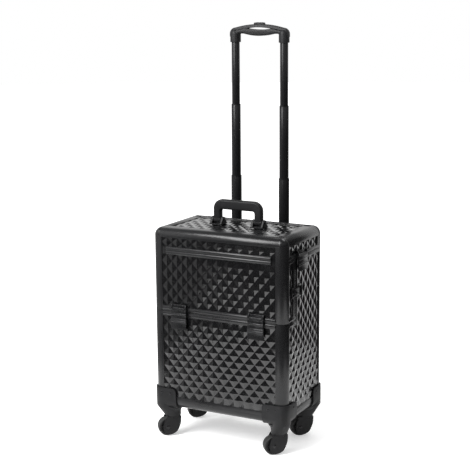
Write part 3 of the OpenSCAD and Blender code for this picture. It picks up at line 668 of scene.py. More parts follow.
def side_sheets(side):
    """The sheets of one side: of the case, and of the cover in two parts."""
    word = "right" if side > 0 else "left"
    low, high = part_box(word + "_side_sheet")
    x_back = low[0] if side > 0 else high[0]

    def lay(y_from, z_from):
        return laid((x_back, y_from, z_from), BACK, UP, side * ACROSS)

    step_w = UPRIGHT_SEAM + RIM - low[1]
    step_h = MID_SEAM - RIM - low[2]
    case_part = embossed(
        "embossed_side_" + word,
        step_w,
        step_h,
        lay(low[1], low[2]),
        high[1] - low[1] - step_w,
        high[2] - low[2] - step_h,
    )
    fit(case_part, word + "_side_sheet", angle=FACET_ANGLE)
    node = "cover_" + word + "_sheets"
    low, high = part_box(node)
    z_low, z_high = MID_SEAM + RIM, LID_SEAM + LID_RIM
    lower = embossed(
        "embossed_cover_" + word,
        UPRIGHT_SEAM - RIM - low[1],
        LID_SEAM - LID_RIM - z_low,
        lay(low[1], z_low),
    )
    upper = embossed("upper", high[1] - low[1], high[2] - z_high, lay(low[1], z_high))
    fit(joined(lower.name, lower, upper), node, angle=FACET_ANGLE)


class CASE_OT_embossed_sheets(bpy.types.Operator):
    """Embossed sheets on the front, the sides and the lid"""

    bl_idname = "trolley_case.embossed_sheets"
    bl_label = "Embossed sheets"

    def execute(self, context):
        node = "front_lower_sheet"
        low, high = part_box(node)
        fit(front_sheet("embossed_front", node, low[2], high[2]), node, angle=FACET_ANGLE)
        node = "cover_front_sheets"
        low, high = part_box(node)
        lower = front_sheet("embossed_cover_front", node, low[2], LID_SEAM - LID_RIM)
        upper = front_sheet("upper", node, LID_SEAM + LID_RIM, high[2])
        strips = [self.strip(side, low, high) for side in (-1, 1)]
        fit(joined(lower.name, lower, upper, *strips), node, angle=FACET_ANGLE)
        node = "cover_top_sheet"
        low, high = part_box(node)
        width, height = high[0] - low[0], high[1] - low[1]
        lid = embossed("embossed_lid", width, height, laid(low, ACROSS, BACK, UP))
        fit(lid, node, angle=FACET_ANGLE)
        for side in (-1, 1):
            side_sheets(side)
        return {"FINISHED"}

    def strip(self, side, low, high):
        """Plain end of a front sheet between the lid's band and a post."""
        edge = corners(
            (side * (high[0] - BAND_SHORT), LID_SEAM - LID_RIM),
            (side * high[0], LID_SEAM + LID_RIM),
            lambda x, z: Vector((x, high[1], z)),
        )
        return close(plate("strip", edge, -BACK * bpy.context.scene.case_sizes.sheet_wall))


# Frame and boards

# Rounding in millimetres of the edges of the pieces that are copied from the frame
ROUNDING = {
    "front_posts": 0.4,
    "rear_posts": 0.4,
    "rear_rails": 0.4,
    "bottom_rails": 0.4,
    "case_rim": 0.3,
    "case_corners": 0.3,
    "cover_posts": 0.4,
    "cover_rails": 0.4,
    "cover_rear_bar": 0.4,
    "cover_corners": 0.3,
    "cover_rim": 0.3,
    "lid_band": 0.3,
    "latch_keepers": 0.5,
    "case_hinge_leaf": 0.25,
    "cover_hinge_leaf": 0.25,
    "guide_tubes": 0.3,
    "stage_3_tubes": 0.3,
    "stage_2_tubes": 0.3,
    "stage_1_tubes": 0.3,
    "tube_clamp": 1.0,
    "tube_foot": 1.0,
    **{"caster_shoe_" + corner: 0.9 for corner in CORNERS},
}


class CASE_OT_profiles(bpy.types.Operator):
    """Profiles, rims, hinge, tubes and shoes with their edges eased"""

    bl_idname = "trolley_case.profiles"
    bl_label = "Profiles and tubes"

    def execute(self, context):
        for node, width in ROUNDING.items():
            soft_copy(node, width)
        return {"FINISHED"}


class CASE_OT_boards(bpy.types.Operator):
    """Finishes on the frame's own pieces: boards, shelf and hidden steel"""

    bl_idname = "trolley_case.boards"
    bl_label = "Boards and inner parts"

    def execute(self, context):
        for node, piece in frame["nodes"].items():
            piece.data.materials.clear()
            piece.data.materials.append(finish_of(NODE_SLOT[node]))
        return {"FINISHED"}


# Latches, in millimetres out of the face and up from the hinge bar's middle

BAR_R, BAR_OUT, BAR_PIN_R, PIN_END = 3.0, 4.8, 1.2, 0.3
# Width of an ear of the base, and the gap beside it
EAR_W, EAR_GAP = 4.0, 0.3
LEVER_IN, LEVER_OUT, RIB_OUT = 4.9, 7.8, 9.2
LEVER_TOP = ((LEVER_IN, -3.4), (LEVER_OUT - 0.6, -3.4), (LEVER_OUT, -4.2))
# A rib about its own middle, and the shares of the lever's length at which ribs lie
RIB_LINE = ((LEVER_OUT, 2.1), (8.8, 1.3), (RIB_OUT, 0), (8.8, -1.3), (LEVER_OUT, -2.1))
RIB_PLACES = (0.27, 0.52, 0.63)
# The finger lip, up from the lever's lower end
LIP_LINE = (
    (LEVER_OUT, 8), (8.0, 5), (8.5, 2), (RIB_OUT, 0.3), (8.8, 0),
    (7.9, 0), (7.0, 2), (6.0, 5), (LEVER_IN, 8),
)
NECK_LOW, NECK_HIGH = (5.0, -4.6), (7.6, -0.6)
BASE_LINE = ((1.8, 3.5), (4.3, 3.5), (4.3, 8.6), (3.6, 9.3), (1.8, 9.3))
EAR_HEEL = [(7.8, 3.2), (5.6, 9.2), (1.8, 9.2)]
BASE_RIVET, RIVET_OUT, RIVET_UP = (1.7, 0.8), 4.2, 6.4


def latch_lever(width, length):
    """A lever that hangs from its hinge bar at the origin, its face forward."""
    line = list(LEVER_TOP)
    for share in RIB_PLACES:
        line += [(out, z - share * length) for out, z in RIB_LINE]
    line += [(out, z - length) for out, z in LIP_LINE]
    body = rounded(bar("lever", line, -width / 2, width), 0.45)
    inner, reach = width / 2 - EAR_W - EAR_GAP, width / 2 - EAR_GAP
    neck = bar("neck", corners(NECK_LOW, NECK_HIGH), -inner, 2 * inner)
    sleeve = rod("sleeve", BAR_R, -inner, inner, BAR_OUT)
    pin = rod("pin", BAR_PIN_R, -reach, reach, BAR_OUT, PIN_END)
    return joined("latch_lever", body, neck, sleeve, pin)


def latch_base(width):
    """Base plate with two eared ends and two rivets."""
    body = rounded(bar("base", BASE_LINE, -width / 2, width), 0.4)
    line = arc((BAR_OUT, 0), BAR_R, -180, 0, 10) + EAR_HEEL
    ears = [
        rounded(bar("ear", line, x, EAR_W), 0.5) for x in (-width / 2, width / 2 - EAR_W)
    ]
    rivets = [
        dome("rivet", *BASE_RIVET, point(x, -RIVET_OUT, RIVET_UP), -BACK)
        for x in (-width / 4, width / 4)
    ]
    return joined("latch_base", body, *ears, *rivets)


def latch_places():
    """Where each latch hangs, by node."""
    places = {}
    for node in ("front_latch_left", "front_latch_right"):
        low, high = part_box(node)
        places[node] = Matrix.Translation(((low[0] + high[0]) / 2, FRONT, high[2] - BAR_R * MM))
    low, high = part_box("side_latch_right")
    spot = Matrix.Translation((SIDE, (low[1] + high[1]) / 2, high[2] - BAR_R * MM))
    places["side_latch_right"] = spot @ Matrix.Rotation(math.pi / 2, 4, "Z")
    places["side_latch_left"] = MIRROR_X @ places["side_latch_right"]
    return places


class CASE_OT_latches(bpy.types.Operator):
    """Toggle latches with their bases"""

    bl_idname = "trolley_case.latches"
    bl_label = "Latches"

    def execute(self, context):
        bases, patterns = [], {}
        for node, place in latch_places().items():
            kind = node.split("_")[0]
            if kind not in patterns:
                low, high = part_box(node)
                along = 1 if kind == "side" else 0
                width = round((high[along] - low[along]) / MM, 1)
                length = (high[2] - low[2]) / MM - BAR_R
                patterns[kind] = (latch_lever(width, length), latch_base(width))
            lever, base = patterns[kind]
            fit(copied(lever, node + "_lever", place), node)
            bases.append(copied(base, "base", place))
        fit(joined("latch_base_set", *bases), "latch_bases")
        for pattern in sum(patterns.values(), ()):
            bpy.data.objects.remove(pattern)
        return {"FINISHED"}


# Carry handle, in millimetres

# Half its width, the width of a leg, and its pivot's height over the lid
BOW_HALF, BOW_LEG, PIVOT_UP = 62.5, 19.0, 11


class CASE_OT_carry_handle(bpy.types.Operator):
    """Carry handle with its brackets, pins and screws"""

    bl_idname = "trolley_case.carry_handle"
    bl_label = "Carry handle"

    def execute(self, context):
        low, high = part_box("carry_handle")
        depth, y_mid = high[1] - low[1], (low[1] + high[1]) / 2 / MM
        pivot, legs = TOP / MM + PIVOT_UP, (BOW_LEG / 2 - BOW_HALF, BOW_HALF - BOW_LEG / 2)
        outline = self.outline(lambda x, z: point(x, low[1] / MM, z), pivot, high[2] / MM)
        bow = rounded(plate("carry_handle_bow", outline, BACK * depth), 6.4, segments=6, angle=50)

        def rods(name, radius, half, ease):
            """A rod across each leg, on the pivot."""
            made = [rod(name, radius, x - half, x + half, ease=ease) for x in legs]
            return [moved(piece, point(0, y_mid, pivot)) for piece in made]

        combined("UNION", bow, *rods("knuckle", 8.0, half=BOW_LEG / 2, ease=1.2))
        pins = joined("carry_handle_pins", *rods("pin", 2.5, half=16.9, ease=0.9))
        add_on(pins, "carry_handle", "latch_metal")
        fit(bow, "carry_handle")
        self.brackets(y_mid, pivot, legs)
        return {"FINISHED"}

    def outline(self, place, foot, top, bar=23.0, shoulder=22.0, throat=5.0):
        """Up the left leg, over the bar and down again, then back along the inside."""
        inner, corner = BOW_HALF - BOW_LEG, BOW_HALF - shoulder
        line = [place(-BOW_HALF, foot)]
        line += arc((-corner, top - shoulder), shoulder, 180, 90, 10, place)
        line += arc((corner, top - shoulder), shoulder, 90, 0, 10, place)
        line += [place(BOW_HALF, foot), place(inner, foot)]
        line += arc((inner - throat, top - bar - throat), throat, 0, 90, 6, place)
        line += arc((throat - inner, top - bar - throat), throat, 90, 180, 6, place)
        return line + [place(-inner, foot)]

    def brackets(self, y_mid, pivot, legs, foot_t=2.3, ear_w=6.0, crown_r=7.0):
        """Base plates with two ears each, screwed down in front and behind."""
        low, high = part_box("handle_brackets")
        floor, outer = low[2] / MM, high[0] / MM - legs[1]
        y_ends = (low[1] / MM, high[1] / MM)
        pieces, screws = [], []
        for leg in legs:
            ends = ((leg - outer, y_ends[0]), (leg + outer, y_ends[1]))
            foot = plate("foot", corners(*ends, lambda x, y: point(x, y, floor)), UP * foot_t * MM)
            pieces.append(rounded(eased_corners(foot, axis=2, width=2.5), 0.6))
            for x in (leg - outer, leg + outer - ear_w):
                edge = [point(x, y, floor + 0.4) for y in (y_ends[0] + 2, y_ends[1] - 2)]
                edge += arc((y_mid, pivot), crown_r, 12, 168, 12, lambda y, z: point(x, y, z))
                pieces.append(rounded(plate("ear", edge, ACROSS * ear_w * MM), 1.3, segments=3))
            for y in (y_ends[0] + 3.6, y_ends[1] - 3.6):
                screws.append(screw(2.6, 1.1, point(leg, y, floor + foot_t), UP))
        fit(joined("handle_bracket_pair", *pieces), "handle_brackets")
        add_on(joined("handle_bracket_screws", *screws), "handle_brackets", "latch_metal")


# Pull handle, in millimetres

# Radii and heights of the sockets round the tubes, and of their bores
SOCKET_LINE = (
    (0, 0), (11.9, 0), (12.5, 0.7), (12.5, 19), (12.1, 22.5), (10.8, 26), (8, 29), (0, 30),
)
BORE_LINE = ((0, -1), (9.6, -1), (9.6, 24.3), (0, 24.3))


class CASE_OT_pull_grip(bpy.types.Operator):
    """Arched grip of the pull handle with its release button"""

    bl_idname = "trolley_case.pull_grip"
    bl_label = "Pull grip"

    def execute(self, context):
        low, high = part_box("pull_grip")
        half, floor, crown = high[0] / MM, low[2] / MM, high[2] / MM
        depth, foot = 14, floor + 12
        rim = self.arch(depth, foot, half=half, shoulder=15, top=crown)
        rim += self.across(depth, foot, inner=half - 20, under=crown - 17)
        grip = plate("pull_grip_bow", rim, point(0, depth, 0))
        rounded(grip, 2.2, segments=3, angle=50)
        depth, foot = 20, floor + 4
        body = self.arch(depth, foot, half=half - 2.4, shoulder=13, top=crown - 6.5)
        body += self.belly(depth, foot, inner=half - 22, ends=crown - 22, middle=crown - 27)
        body = plate("body", body, point(0, depth, 0))
        rounded(body, 5.6, segments=6, angle=50)
        sockets = [self.round_about(side, "socket", floor, SOCKET_LINE) for side in (-1, 1)]
        combined("UNION", grip, body, *sockets)
        button, eye_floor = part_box("release_button"), crown - 12.5
        bores = [self.round_about(side, "bore", floor, BORE_LINE) for side in (-1, 1)]
        combined("DIFFERENCE", grip, *self.openings(eye_floor, *button), *bores)
        fit(rounded(grip, 0.6, angle=55), "pull_grip")
        self.button(*button)
        return {"FINISHED"}

    def openings(self, floor, low, high, depth=60, gap=0.3 * MM):
        """The long eye through the grip, and the well of the button over it."""
        line = self.line(depth)
        eye = arc((0, floor - 196), 201, 99.2, 80.8, 14, line)
        eye += arc((0, floor + 220), 220, 278.3, 261.7, 14, line)
        well = corners(
            (low[0] - gap, low[1] - gap),
            (high[0] + gap, high[1] + gap),
            lambda x, y: Vector((x, y, (floor + 7.5) * MM)),
        )
        return plate("eye", eye, point(0, depth, 0)), plate("well", well, point(0, 0, 20))

    def line(self, depth):
        """Turns X and Z into a point on the front of a bar of a depth about the tubes."""
        return lambda x, z: point(x, TUBE_Y / MM - depth / 2, z)

    def arch(self, depth, foot, half, shoulder, top, rise=8.0):
        """The crown's line from foot to foot, over both shoulders."""
        line, span = self.line(depth), half - shoulder
        big = (span**2 + rise**2) / (2 * rise)
        lean = math.degrees(math.asin(span / big))
        outline = [line(-half, foot)]
        outline += arc((-span, top - rise - shoulder), shoulder, 180, 90 + lean, 8, line)
        outline += arc((0, top - big), big, 90 + lean, 90 - lean, 16, line)
        outline += arc((span, top - rise - shoulder), shoulder, 90 - lean, 0, 8, line)
        return outline + [line(half, foot)]

    def across(self, depth, foot, inner, under):
        """The way back from the right foot to the left one, with square corners."""
        line = self.line(depth)
        return [line(inner, foot), line(inner, under), line(-inner, under), line(-inner, foot)]

    def belly(self, depth, foot, inner, ends, middle, radius=150.0, half=38.0, throat=4.0):
        """The way back under the hand bar's full belly."""
        line, reach = self.line(depth), math.degrees(math.asin(half / radius))
        outline = [line(inner, foot)]
        outline += arc((inner - throat, ends - throat), throat, 0, 90, 5, line)
        outline += arc((0, middle + radius), radius, 270 + reach, 270 - reach, 14, line)
        outline += arc((throat - inner, ends - throat), throat, 90, 180, 5, line)
        return outline + [line(-inner, foot)]

    def round_about(self, side, name, floor, profile):
        """Turns a profile of radii and heights about one of the tubes."""
        x = side * TUBE_X
        places = [Vector((x + r * MM, TUBE_Y, (floor + z) * MM)) for r, z in profile]
        return turned(name, places, (x, TUBE_Y, 0), UP, 64)

    def button(self, low, high, slope=2, foot=2, crest=1):
        """Push button with a crowned top and thumb ridges."""
        (x0, y0, z0), (x1, y1, z1) = ([value / MM for value in end] for end in (low, high))
        edge, dip = z1 - 1.4, z1 - 0.6
        top = [(x1, z0), (x1, edge), (x1 - slope, dip)]
        for x in (6, 0, -6):
            top += [(x + foot, dip), (x + crest, z1), (x - crest, z1), (x - foot, dip)]
        top += [(x0 + slope, dip), (x0, edge), (x0, z0)]
        places = [point(x, y0, z) for x, z in top]
        button = plate("release_push_button", places, point(0, y1 - y0, 0))
        fit(rounded(button, 0.5, angle=25), "release_button")


# Casters, in millimetres about the swivel axis; the wheel trails towards +X

TRAIL_YAW, CASTER_INSET = math.radians(222), 30 * MM
TRAIL, WHEEL_R, CHEEK_IN, CHEEK_T = 15.0, 22.0, 11.0, 3.5
FORK_TOP, STEM_TOP = 48.5, 62
DISC_LINE = (
    (0, FORK_TOP - 3.5), (16, FORK_TOP - 3.5), (17, FORK_TOP - 2.6), (17, FORK_TOP - 0.6),
    (16.4, FORK_TOP), (5, FORK_TOP), (5, STEM_TOP), (0, STEM_TOP),
)
CHEEK_LINE = (
    (-16.6, FORK_TOP - 0.4), (-16.9, FORK_TOP - 4), (-15.5, 30), (-8.5, 13), (-1, 6.5),
    (8, 3.5), (17, 3.5), (24, 12), (26, 22), (23, 36), (17, FORK_TOP - 0.4),
)
HOOD_LINE = (
    (-16.6, FORK_TOP - 0.6), (-15.6, 30), (-8.8, 13.2),
    (-6.9, 14.5), (-13, 31), (-14, 44), (-12.6, FORK_TOP - 1),
)
AXLE_R, AXLE_HALF, AXLE_CAP, CAP_SUNK = 2.95, 14, (4.6, 1.6), 0.1
# Radii and places along the axle of one half of the hub and of the tyre, and its crest
HUB_LINE = ((3.1, -10), (8.4, -10), (9, -9.4), (9.6, -6), (14.4, -6), (15.2, -9.2), (17.6, -9.4))
TYRE_LINE = (
    (17.3, -8.6), (17.9, -9.6), (19.4, -10), (20.6, -9.6),
    (21.5, -8.4), (21.9, -6), (22, -2), (22, -0.5),
)
TYRE_CREST = (21.6, 0)
# Webs in the hub's two recesses: how many, their near and far corners, faces and thickness
WEBS, WEB_NEAR, WEB_FAR, WEB_FACES, WEB_T = 6, (9.2, -0.9), (14.9, 0.9), (-9.0, 5.6), 3.4


def flowing(points, steps=5):
    """A smooth open line through points."""
    places = [Vector(p) for p in points]
    ends = places[:1] + places + places[-1:]
    path = []
    for before, here, there, after in zip(ends, ends[1:], ends[2:], ends[3:]):
        for i in range(steps):
            t = i / steps
            bend = (2 * before - 5 * here + 4 * there - after) * t**2
            bend += (3 * (here - there) + after - before) * t**3
            path.append(here + (there - before) * t / 2 + bend / 2)
    return path + places[-1:]


def caster_fork():
    """Hooded fork, and the axle through its cheeks."""
    pieces = [turned("disc", [point(x, 0, z) for x, z in DISC_LINE], (0, 0, 0), UP, 48)]
    for y in (-CHEEK_IN - CHEEK_T, CHEEK_IN):
        places = [point(p.x, y, p.y) for p in flowing(CHEEK_LINE)]
        pieces.append(rounded(plate("cheek", places, point(0, CHEEK_T, 0)), 1.4, segments=4))
    places = [point(x, -CHEEK_IN, z) for x, z in HOOD_LINE]
    pieces.append(plate("hood", places, point(0, 2 * CHEEK_IN, 0)))
    caps = []
    for side in (-1, 1):
        centre = point(TRAIL, side * (CHEEK_IN + CHEEK_T - CAP_SUNK), WHEEL_R)
        caps.append(dome("cap", *AXLE_CAP, centre, side * BACK))
    profile = ((-AXLE_HALF, 0), (-AXLE_HALF, AXLE_R), (AXLE_HALF, AXLE_R), (AXLE_HALF, 0))
    places = [point(TRAIL, y, WHEEL_R + r) for y, r in profile]
    shaft = turned("shaft", places, point(TRAIL, 0, WHEEL_R), BACK, 24)
    return joined("fork", *pieces), joined("axle", shaft, *caps)


def caster_wheel():
    """Hub with webs in its recess, and a tyre round it."""
    centre = point(TRAIL, 0, WHEEL_R)

    def ring(name, half, steps, *crest):
        """Turns a profile about the axle, from its half and the places between the halves."""
        profile = [*half, *crest, *((r, -y) for r, y in reversed(half)), half[0]]
        places = [point(TRAIL, y, WHEEL_R + r) for r, y in profile]
        return turned(name, places, centre, BACK, steps)

    hub = ring("core", HUB_LINE, 64)
    tyre = ring("tyre", TYRE_LINE, 72, TYRE_CREST)
    webs = []
    for i in range(WEBS):
        turn = Matrix.Translation(centre) @ Matrix.Rotation(math.tau * i / WEBS, 4, "Y")
        for face in WEB_FACES:
            edge = corners(WEB_NEAR, WEB_FAR, lambda x, z: point(x, face, z))
            web = plate("web", edge, point(0, WEB_T, 0))
            web.data.transform(turn)
            webs.append(web)
    return joined("core", hub, *webs), tyre


class CASE_OT_casters(bpy.types.Operator):
    """Casters with hooded forks, axles, hubs and tyres"""

    bl_idname = "trolley_case.casters"
    bl_label = "Casters"

    def execute(self, context):
        patterns = (*caster_fork(), *caster_wheel())
        words = ("fork", "axle", "hub", "tyre")
        for corner, (side, end) in CORNERS.items():
            x = side * (SIDE - CASTER_INSET)
            y = MIDDLE + end * ((REAR - FRONT) / 2 - CASTER_INSET)
            place = Matrix.Translation((x, y, 0)) @ Matrix.Rotation(TRAIL_YAW, 4, "Z")
            fork_node, wheel_node = "caster_fork_" + corner, "caster_wheel_" + corner
            fork, axle, hub, tyre = (
                copied(pattern, f"caster_{word}_{corner}_part", place)
                for pattern, word in zip(patterns, words)
            )
            fit(fork, fork_node)
            add_on(axle, fork_node, "latch_metal")
            fit(hub, wheel_node, slot="shoe")
            add_on(tyre, wheel_node, "tyre")
        for pattern in patterns:
            bpy.data.objects.remove(pattern)
        return {"FINISHED"}


# Screws, rivets and side clasps, in millimetres


class CASE_OT_fasteners(bpy.types.Operator):
    """Screws of the shoes, the clamp and the foot, and the side clasps"""

    bl_idname = "trolley_case.fasteners"
    bl_label = "Screws and clasps"

    def execute(self, context):
        for corner, (side, end) in CORNERS.items():
            # The shoe's outer corner, from the low or the high end of its box, down to the screws
            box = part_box("caster_shoe_" + corner)
            outer = Vector((box[side > 0][0], box[end > 0][1], box[1][2])) - point(0, 0, 11)
            heads = [screw(2.8, 1.1, outer - point(side * x, 0, 0), end * BACK) for x in (24, 46)]
            heads.append(screw(2.8, 1.1, outer - point(0, end * 40, 0), side * ACROSS))
            add_on(joined("shoe_screws_" + corner, *heads), "caster_shoe_" + corner, "latch_metal")
        for node in ("tube_clamp", "tube_foot"):
            low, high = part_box(node)
            face = Vector((0, REAR, (low[2] + high[2]) / 2)) + point(0, 6.3, 0)
            heads = [screw(2.8, 1.2, face + point(x, 0, 0), BACK) for x in (-36, -12, 12, 36)]
            add_on(joined(node + "_screws", *heads), node, "latch_metal")
        for side, word in ((-1, "left"), (1, "right")):
            self.clasp(side, word)
        return {"FINISHED"}

    def clasp(self, side, word, height=376.0):
        """Small hook plate on the case's side that reaches over the seam to a stud on the cover."""

        def spot(y, out, z=0):
            """A place behind the upright seam, out of the side and over the clasp's middle."""
            return point(side * (SIDE / MM + out), UPRIGHT_SEAM / MM + y, height + z)

        def slab(name, y, half, out, radius):
            edge = corners((y[0], -half), (y[1], half), lambda y, z: spot(y, out[0], z))
            piece = plate(name, edge, point(side * (out[1] - out[0]), 0, 0))
            return rounded(eased_corners(piece, axis=0, width=radius), 0.4)

        pad = slab("pad", y=(3, 28), half=15, out=(-1.5, 1.0), radius=2)
        hook = slab("hook", y=(-14, 24), half=9, out=(1.0, 3.4), radius=4)
        roll = rod("roll", 3.0, -11, 11, ease=0.8)
        roll.data.transform(Matrix.Rotation(math.pi / 2, 4, "Y"))
        moved(roll, spot(24, 3.0))
        rivets = [dome("rivet", 1.9, 0.8, spot(15.5, 1.0, z), side * ACROSS) for z in (-12, 12)]
        clasp = joined("side_clasp_" + word, pad, hook, roll, *rivets)
        add_on(clasp, word + "_side_sheet", "latch_metal")
        stud = slab("side_clasp_stud_" + word, y=(-20, -4), half=12, out=(-1.5, 0.8), radius=2)
        stud = joined(stud.name, stud, dome("knob", 3.2, 2.4, spot(-17, 0.8), side * ACROSS))
        add_on(stud, "cover_" + word + "_sheets", "latch_metal")


# Stage

# How much of the floor's white is its own glow near the case, and its colour where seen
FLOOR_GLOW, FLOOR_SEEN = 0.45, 0.74
# Height of the dark room, and its radius at some bearings in degrees from +Y towards +X
ROOM_H = 0.85
ROOM = (
    (-90, 0.6), (-20, 0.65), (60, 0.65), (110, 1.1), (135, 0.72), (165, 0.72),
    (190, 1.0), (203, 0.52), (214, 0.52), (228, 0.64), (270, 0.6),
)
# Light of its walls in front, in a strip along the top there, and behind, and how much of
# the last the shade takes away
WALL_FRONT, WALL_STRIP, WALL_BEHIND, SHADE = 0.01, 0.7, 0.95, 0.45
# Even light of the world, and its levels from below to above where it is seen
ROOM_LIGHT = 0.55
SKY = ((0.0, 1.0), (0.38, 1.0), (0.55, 0.3), (1.0, 0.12))
# Name, place, width, height and power of each lamp, and what they aim at
LAMPS = (
    ("key", (-0.7, -1.5, 1.7), 1.4, 1.5, 105),
    ("overhead", (0.35, 0.9, 2.5), 1.4, 0.8, 24),
    ("right_front", (1.9, -2.0, 1.9), 0.9, 0.9, 4),
)
LAMP_AIM = (0, 0, 0.4)
# The camera that was fitted to the photograph
CAMERA_PLACE, CAMERA_AIM = (1.2856, -2.4527, 1.0235), (-0.0071, -0.0116, 0.4819)
CAMERA_ROLL, CAMERA_SENSOR, CAMERA_LENS = -0.0069, 36.0, 93.28


class CASE_OT_stage(bpy.types.Operator):
    """Pale floor, soft lamps and the camera"""

    bl_idname = "trolley_case.stage"
    bl_label = "Stage"

    def execute(self, context):
        scene = context.scene
        scene.view_settings.view_transform = "Standard"
        self.floor()
        self.dark_room()
        self.world(scene)
        self.lamps()
        self.camera(scene)
        return {"FINISHED"}

    def floor(self):
        """A wide white floor that glows where it is seen, and keeps the case's shadow."""
        only()
        bpy.ops.mesh.primitive_circle_add(
            vertices=64, radius=12, fill_type="NGON", location=(0, 0, -0.0005)
        )
        floor = bpy.context.object
        floor.name = "studio_floor"
        finish = Finish("studio_floor")
        spot = {0: finish.coordinates()}
        distance = finish.node("ShaderNodeVectorMath", {"operation": "LENGTH"}, spot, 1)
        matt = finish.blend(finish.ramp(finish.noise(1.5), -0.4, 0.4), grey(0.60), grey(0.62))
        glow = finish.blend(finish.ramp(distance, 0.25, 0.85), grey(FLOOR_GLOW), grey(1.0))
        mask = finish.seen()
        finish.surface(
            base_color=finish.blend(mask, matt, grey(FLOOR_SEEN)),
            emission_color=finish.blend(mask, grey(0.0), glow),
            emission_strength=1.0,
            roughness=0.9,
            specular_ior_level=0.0,
        )
        floor.data.materials.append(finish.material)

    def dark_room(self):
        """Walls that only gloss shows: dark in front, pale behind, shaded low at the left."""
        only()
        bpy.ops.mesh.primitive_cylinder_add(
            vertices=96,
            radius=1,
            depth=ROOM_H,
            end_fill_type="NOTHING",
            location=(0, 0, ROOM_H / 2),
        )
        room = bpy.context.object
        room.name = "dark_room"
        for vertex in room.data.vertices:
            bearing = (math.degrees(math.atan2(vertex.co.x, vertex.co.y)) + 90) % 360 - 90
            low, high = next(ends for ends in zip(ROOM, ROOM[1:]) if bearing <= ends[1][0])
            share = (bearing - low[0]) / (high[0] - low[0])
            vertex.co.xy *= low[1] + (high[1] - low[1]) * share
        close(room)
        finish = Finish("dark_room")
        spot = {0: finish.coordinates()}
        x, y, z = (finish.node("ShaderNodeSeparateXYZ", {}, spot, i) for i in range(3))
        shade = (1 - finish.ramp(x, -0.32, -0.2)) * (1 - finish.ramp(z, 0.06, 0.16))
        behind = finish.ramp(y * 0.73 - x, -0.03, 0.03) * (1 - SHADE * shade)
        strip = finish.ramp(x, -0.05, 0.15) * (1 - finish.ramp(x, 0.45, 0.6))
        strip = strip * (1 - finish.ramp(y, -0.3, -0.1)) * finish.ramp(z, 0.34, 0.42)
        front = finish.blend(strip, grey(WALL_FRONT), grey(WALL_STRIP))
        finish.surface(
            base_color=grey(0.0),
            emission_color=finish.blend(behind, front, grey(WALL_BEHIND)),
            emission_strength=1.0,
            roughness=0.9,
        )
        room.data.materials.append(finish.material)
        room.visible_camera = room.visible_diffuse = False
        room.visible_shadow = room.visible_transmission = False

    def world(self, scene):
        """White where it is seen, dark overhead, and a plain even light."""
        world = bpy.data.worlds.new("studio")
        scene.world = world
        nodes = Nodes(world)
        way = nodes.node("ShaderNodeTexCoord", {}, {}, "Generated")
        height = nodes.node("ShaderNodeSeparateXYZ", {}, {0: way}, 2)
        stops = [(place, grey(level)) for place, level in SKY]
        backdrop = nodes.node("ShaderNodeValToRGB", {"stops": stops}, {0: height})
        shown = nodes.blend(nodes.seen(), grey(ROOM_LIGHT), backdrop)
        sky = nodes.node("ShaderNodeBackground", {}, {"Color": shown})
        nodes.node("ShaderNodeOutputWorld", {}, {"Surface": sky}, None)

    def lamps(self):
        """A large key at the left front, one overhead behind and a faint one at the right."""
        for name, place, wide, tall, watts in LAMPS:
            light = bpy.data.lights.new(name, "AREA")
            light.shape, light.size, light.size_y, light.energy = "RECTANGLE", wide, tall, watts
            lamp = bpy.data.objects.new(name, light)
            lamp.location = place
            way = Vector(LAMP_AIM) - Vector(place)
            lamp.rotation_euler = way.to_track_quat("-Z", "Y").to_euler()
            bpy.context.scene.collection.objects.link(lamp)

    def camera(self, scene):
        """The photograph's view."""
        data = bpy.data.cameras.new("photo_view")
        camera = bpy.data.objects.new("photo_view", data)
        way = Vector(CAMERA_AIM) - Vector(CAMERA_PLACE)
        turn = way.to_track_quat("-Z", "Y").to_matrix().to_4x4()
        turn = turn @ Matrix.Rotation(CAMERA_ROLL, 4, "Z")
        camera.matrix_world = Matrix.Translation(CAMERA_PLACE) @ turn
        data.sensor_width, data.lens = CAMERA_SENSOR, CAMERA_LENS
        data.clip_start, data.clip_end = 0.05, 60.0
        scene.collection.objects.link(camera)
        scene.camera = camera


# Settings, panel and registration


def colour_property(name, description, default):
    return FloatVectorProperty(
        name=name, description=description, default=default, subtype="COLOR", min=0.0, max=1.0
    )


def length_property(name, description, default):
    return FloatProperty(
        name=name, description=description, default=default,
        unit="LENGTH", min=0.0001, max=1.0, precision=4,
    )


class CaseSizes(bpy.types.PropertyGroup):
    """Sizes of the embossed sheets"""

    diamond_width: length_property("Half width", "Half the width of a raised diamond", 13.4 * MM)
    diamond_height: length_property("Half height", "Half the height of a raised diamond", 15.3 * MM)
    emboss: length_property("Emboss", "Height of the raised diamonds", 2.0 * MM)
    sheet_wall: length_property("Sheet", "Thickness of the embossed sheet", 1.0 * MM)


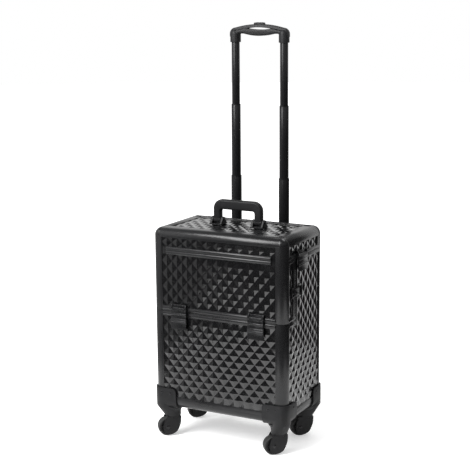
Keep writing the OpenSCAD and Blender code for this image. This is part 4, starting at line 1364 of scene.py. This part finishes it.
class CaseColours(bpy.types.PropertyGroup):
    """Colours of the finishes"""

    profile: colour_property("Profiles", "Anodised profiles", (0.007, 0.007, 0.0075))
    sheet: colour_property("Sheets", "Glossy embossed sheets", (0.004, 0.004, 0.0043))
    moulding: colour_property("Mouldings", "Shoes, brackets and handles", (0.0065, 0.0065, 0.007))
    tube: colour_property("Tubes", "Enamelled tubes", (0.006, 0.006, 0.0065))
    tyre: colour_property("Tyres", "Tread rubber", (0.012, 0.012, 0.012))
    latch: colour_property("Latches", "Plated latches and screws", (0.012, 0.012, 0.0128))
    steel: colour_property("Steel", "Pins and rods", (0.45, 0.45, 0.46))
    board: colour_property("Boards", "Paper-covered boards", (0.018, 0.018, 0.019))
    shelf: colour_property("Shelf", "Powder-coated shelf", (0.09, 0.092, 0.096))


OPERATORS = (
    CASE_OT_boards,
    CASE_OT_embossed_sheets,
    CASE_OT_profiles,
    CASE_OT_latches,
    CASE_OT_carry_handle,
    CASE_OT_pull_grip,
    CASE_OT_casters,
    CASE_OT_fasteners,
    CASE_OT_stage,
)


class CASE_PT_panel(bpy.types.Panel):
    """Lists the sizes, the colours and the steps in their order"""

    bl_idname = "CASE_PT_panel"
    bl_label = "Trolley case"
    bl_space_type = "VIEW_3D"
    bl_region_type = "UI"
    bl_category = "Trolley case"

    def draw(self, context):
        for group in (context.scene.case_sizes, context.scene.case_colours):
            for key in group.__annotations__:
                self.layout.prop(group, key)
        for step in OPERATORS:
            self.layout.operator(step.bl_idname)


CLASSES = (CaseSizes, CaseColours, *OPERATORS, CASE_PT_panel)


def register():
    for cls in CLASSES:
        bpy.utils.register_class(cls)
    bpy.types.Scene.case_sizes = PointerProperty(type=CaseSizes)
    bpy.types.Scene.case_colours = PointerProperty(type=CaseColours)


def unregister():
    del bpy.types.Scene.case_colours
    del bpy.types.Scene.case_sizes
    for cls in reversed(CLASSES):
        bpy.utils.unregister_class(cls)


def main():
    """Builds the dressed case."""
    register()
    for step in OPERATORS:
        group, name = step.bl_idname.split(".")
        if getattr(getattr(bpy.ops, group), name)() != {"FINISHED"}:
            raise RuntimeError(step.bl_label + " did not finish")
    only()


if __name__ == "__main__":
    main()
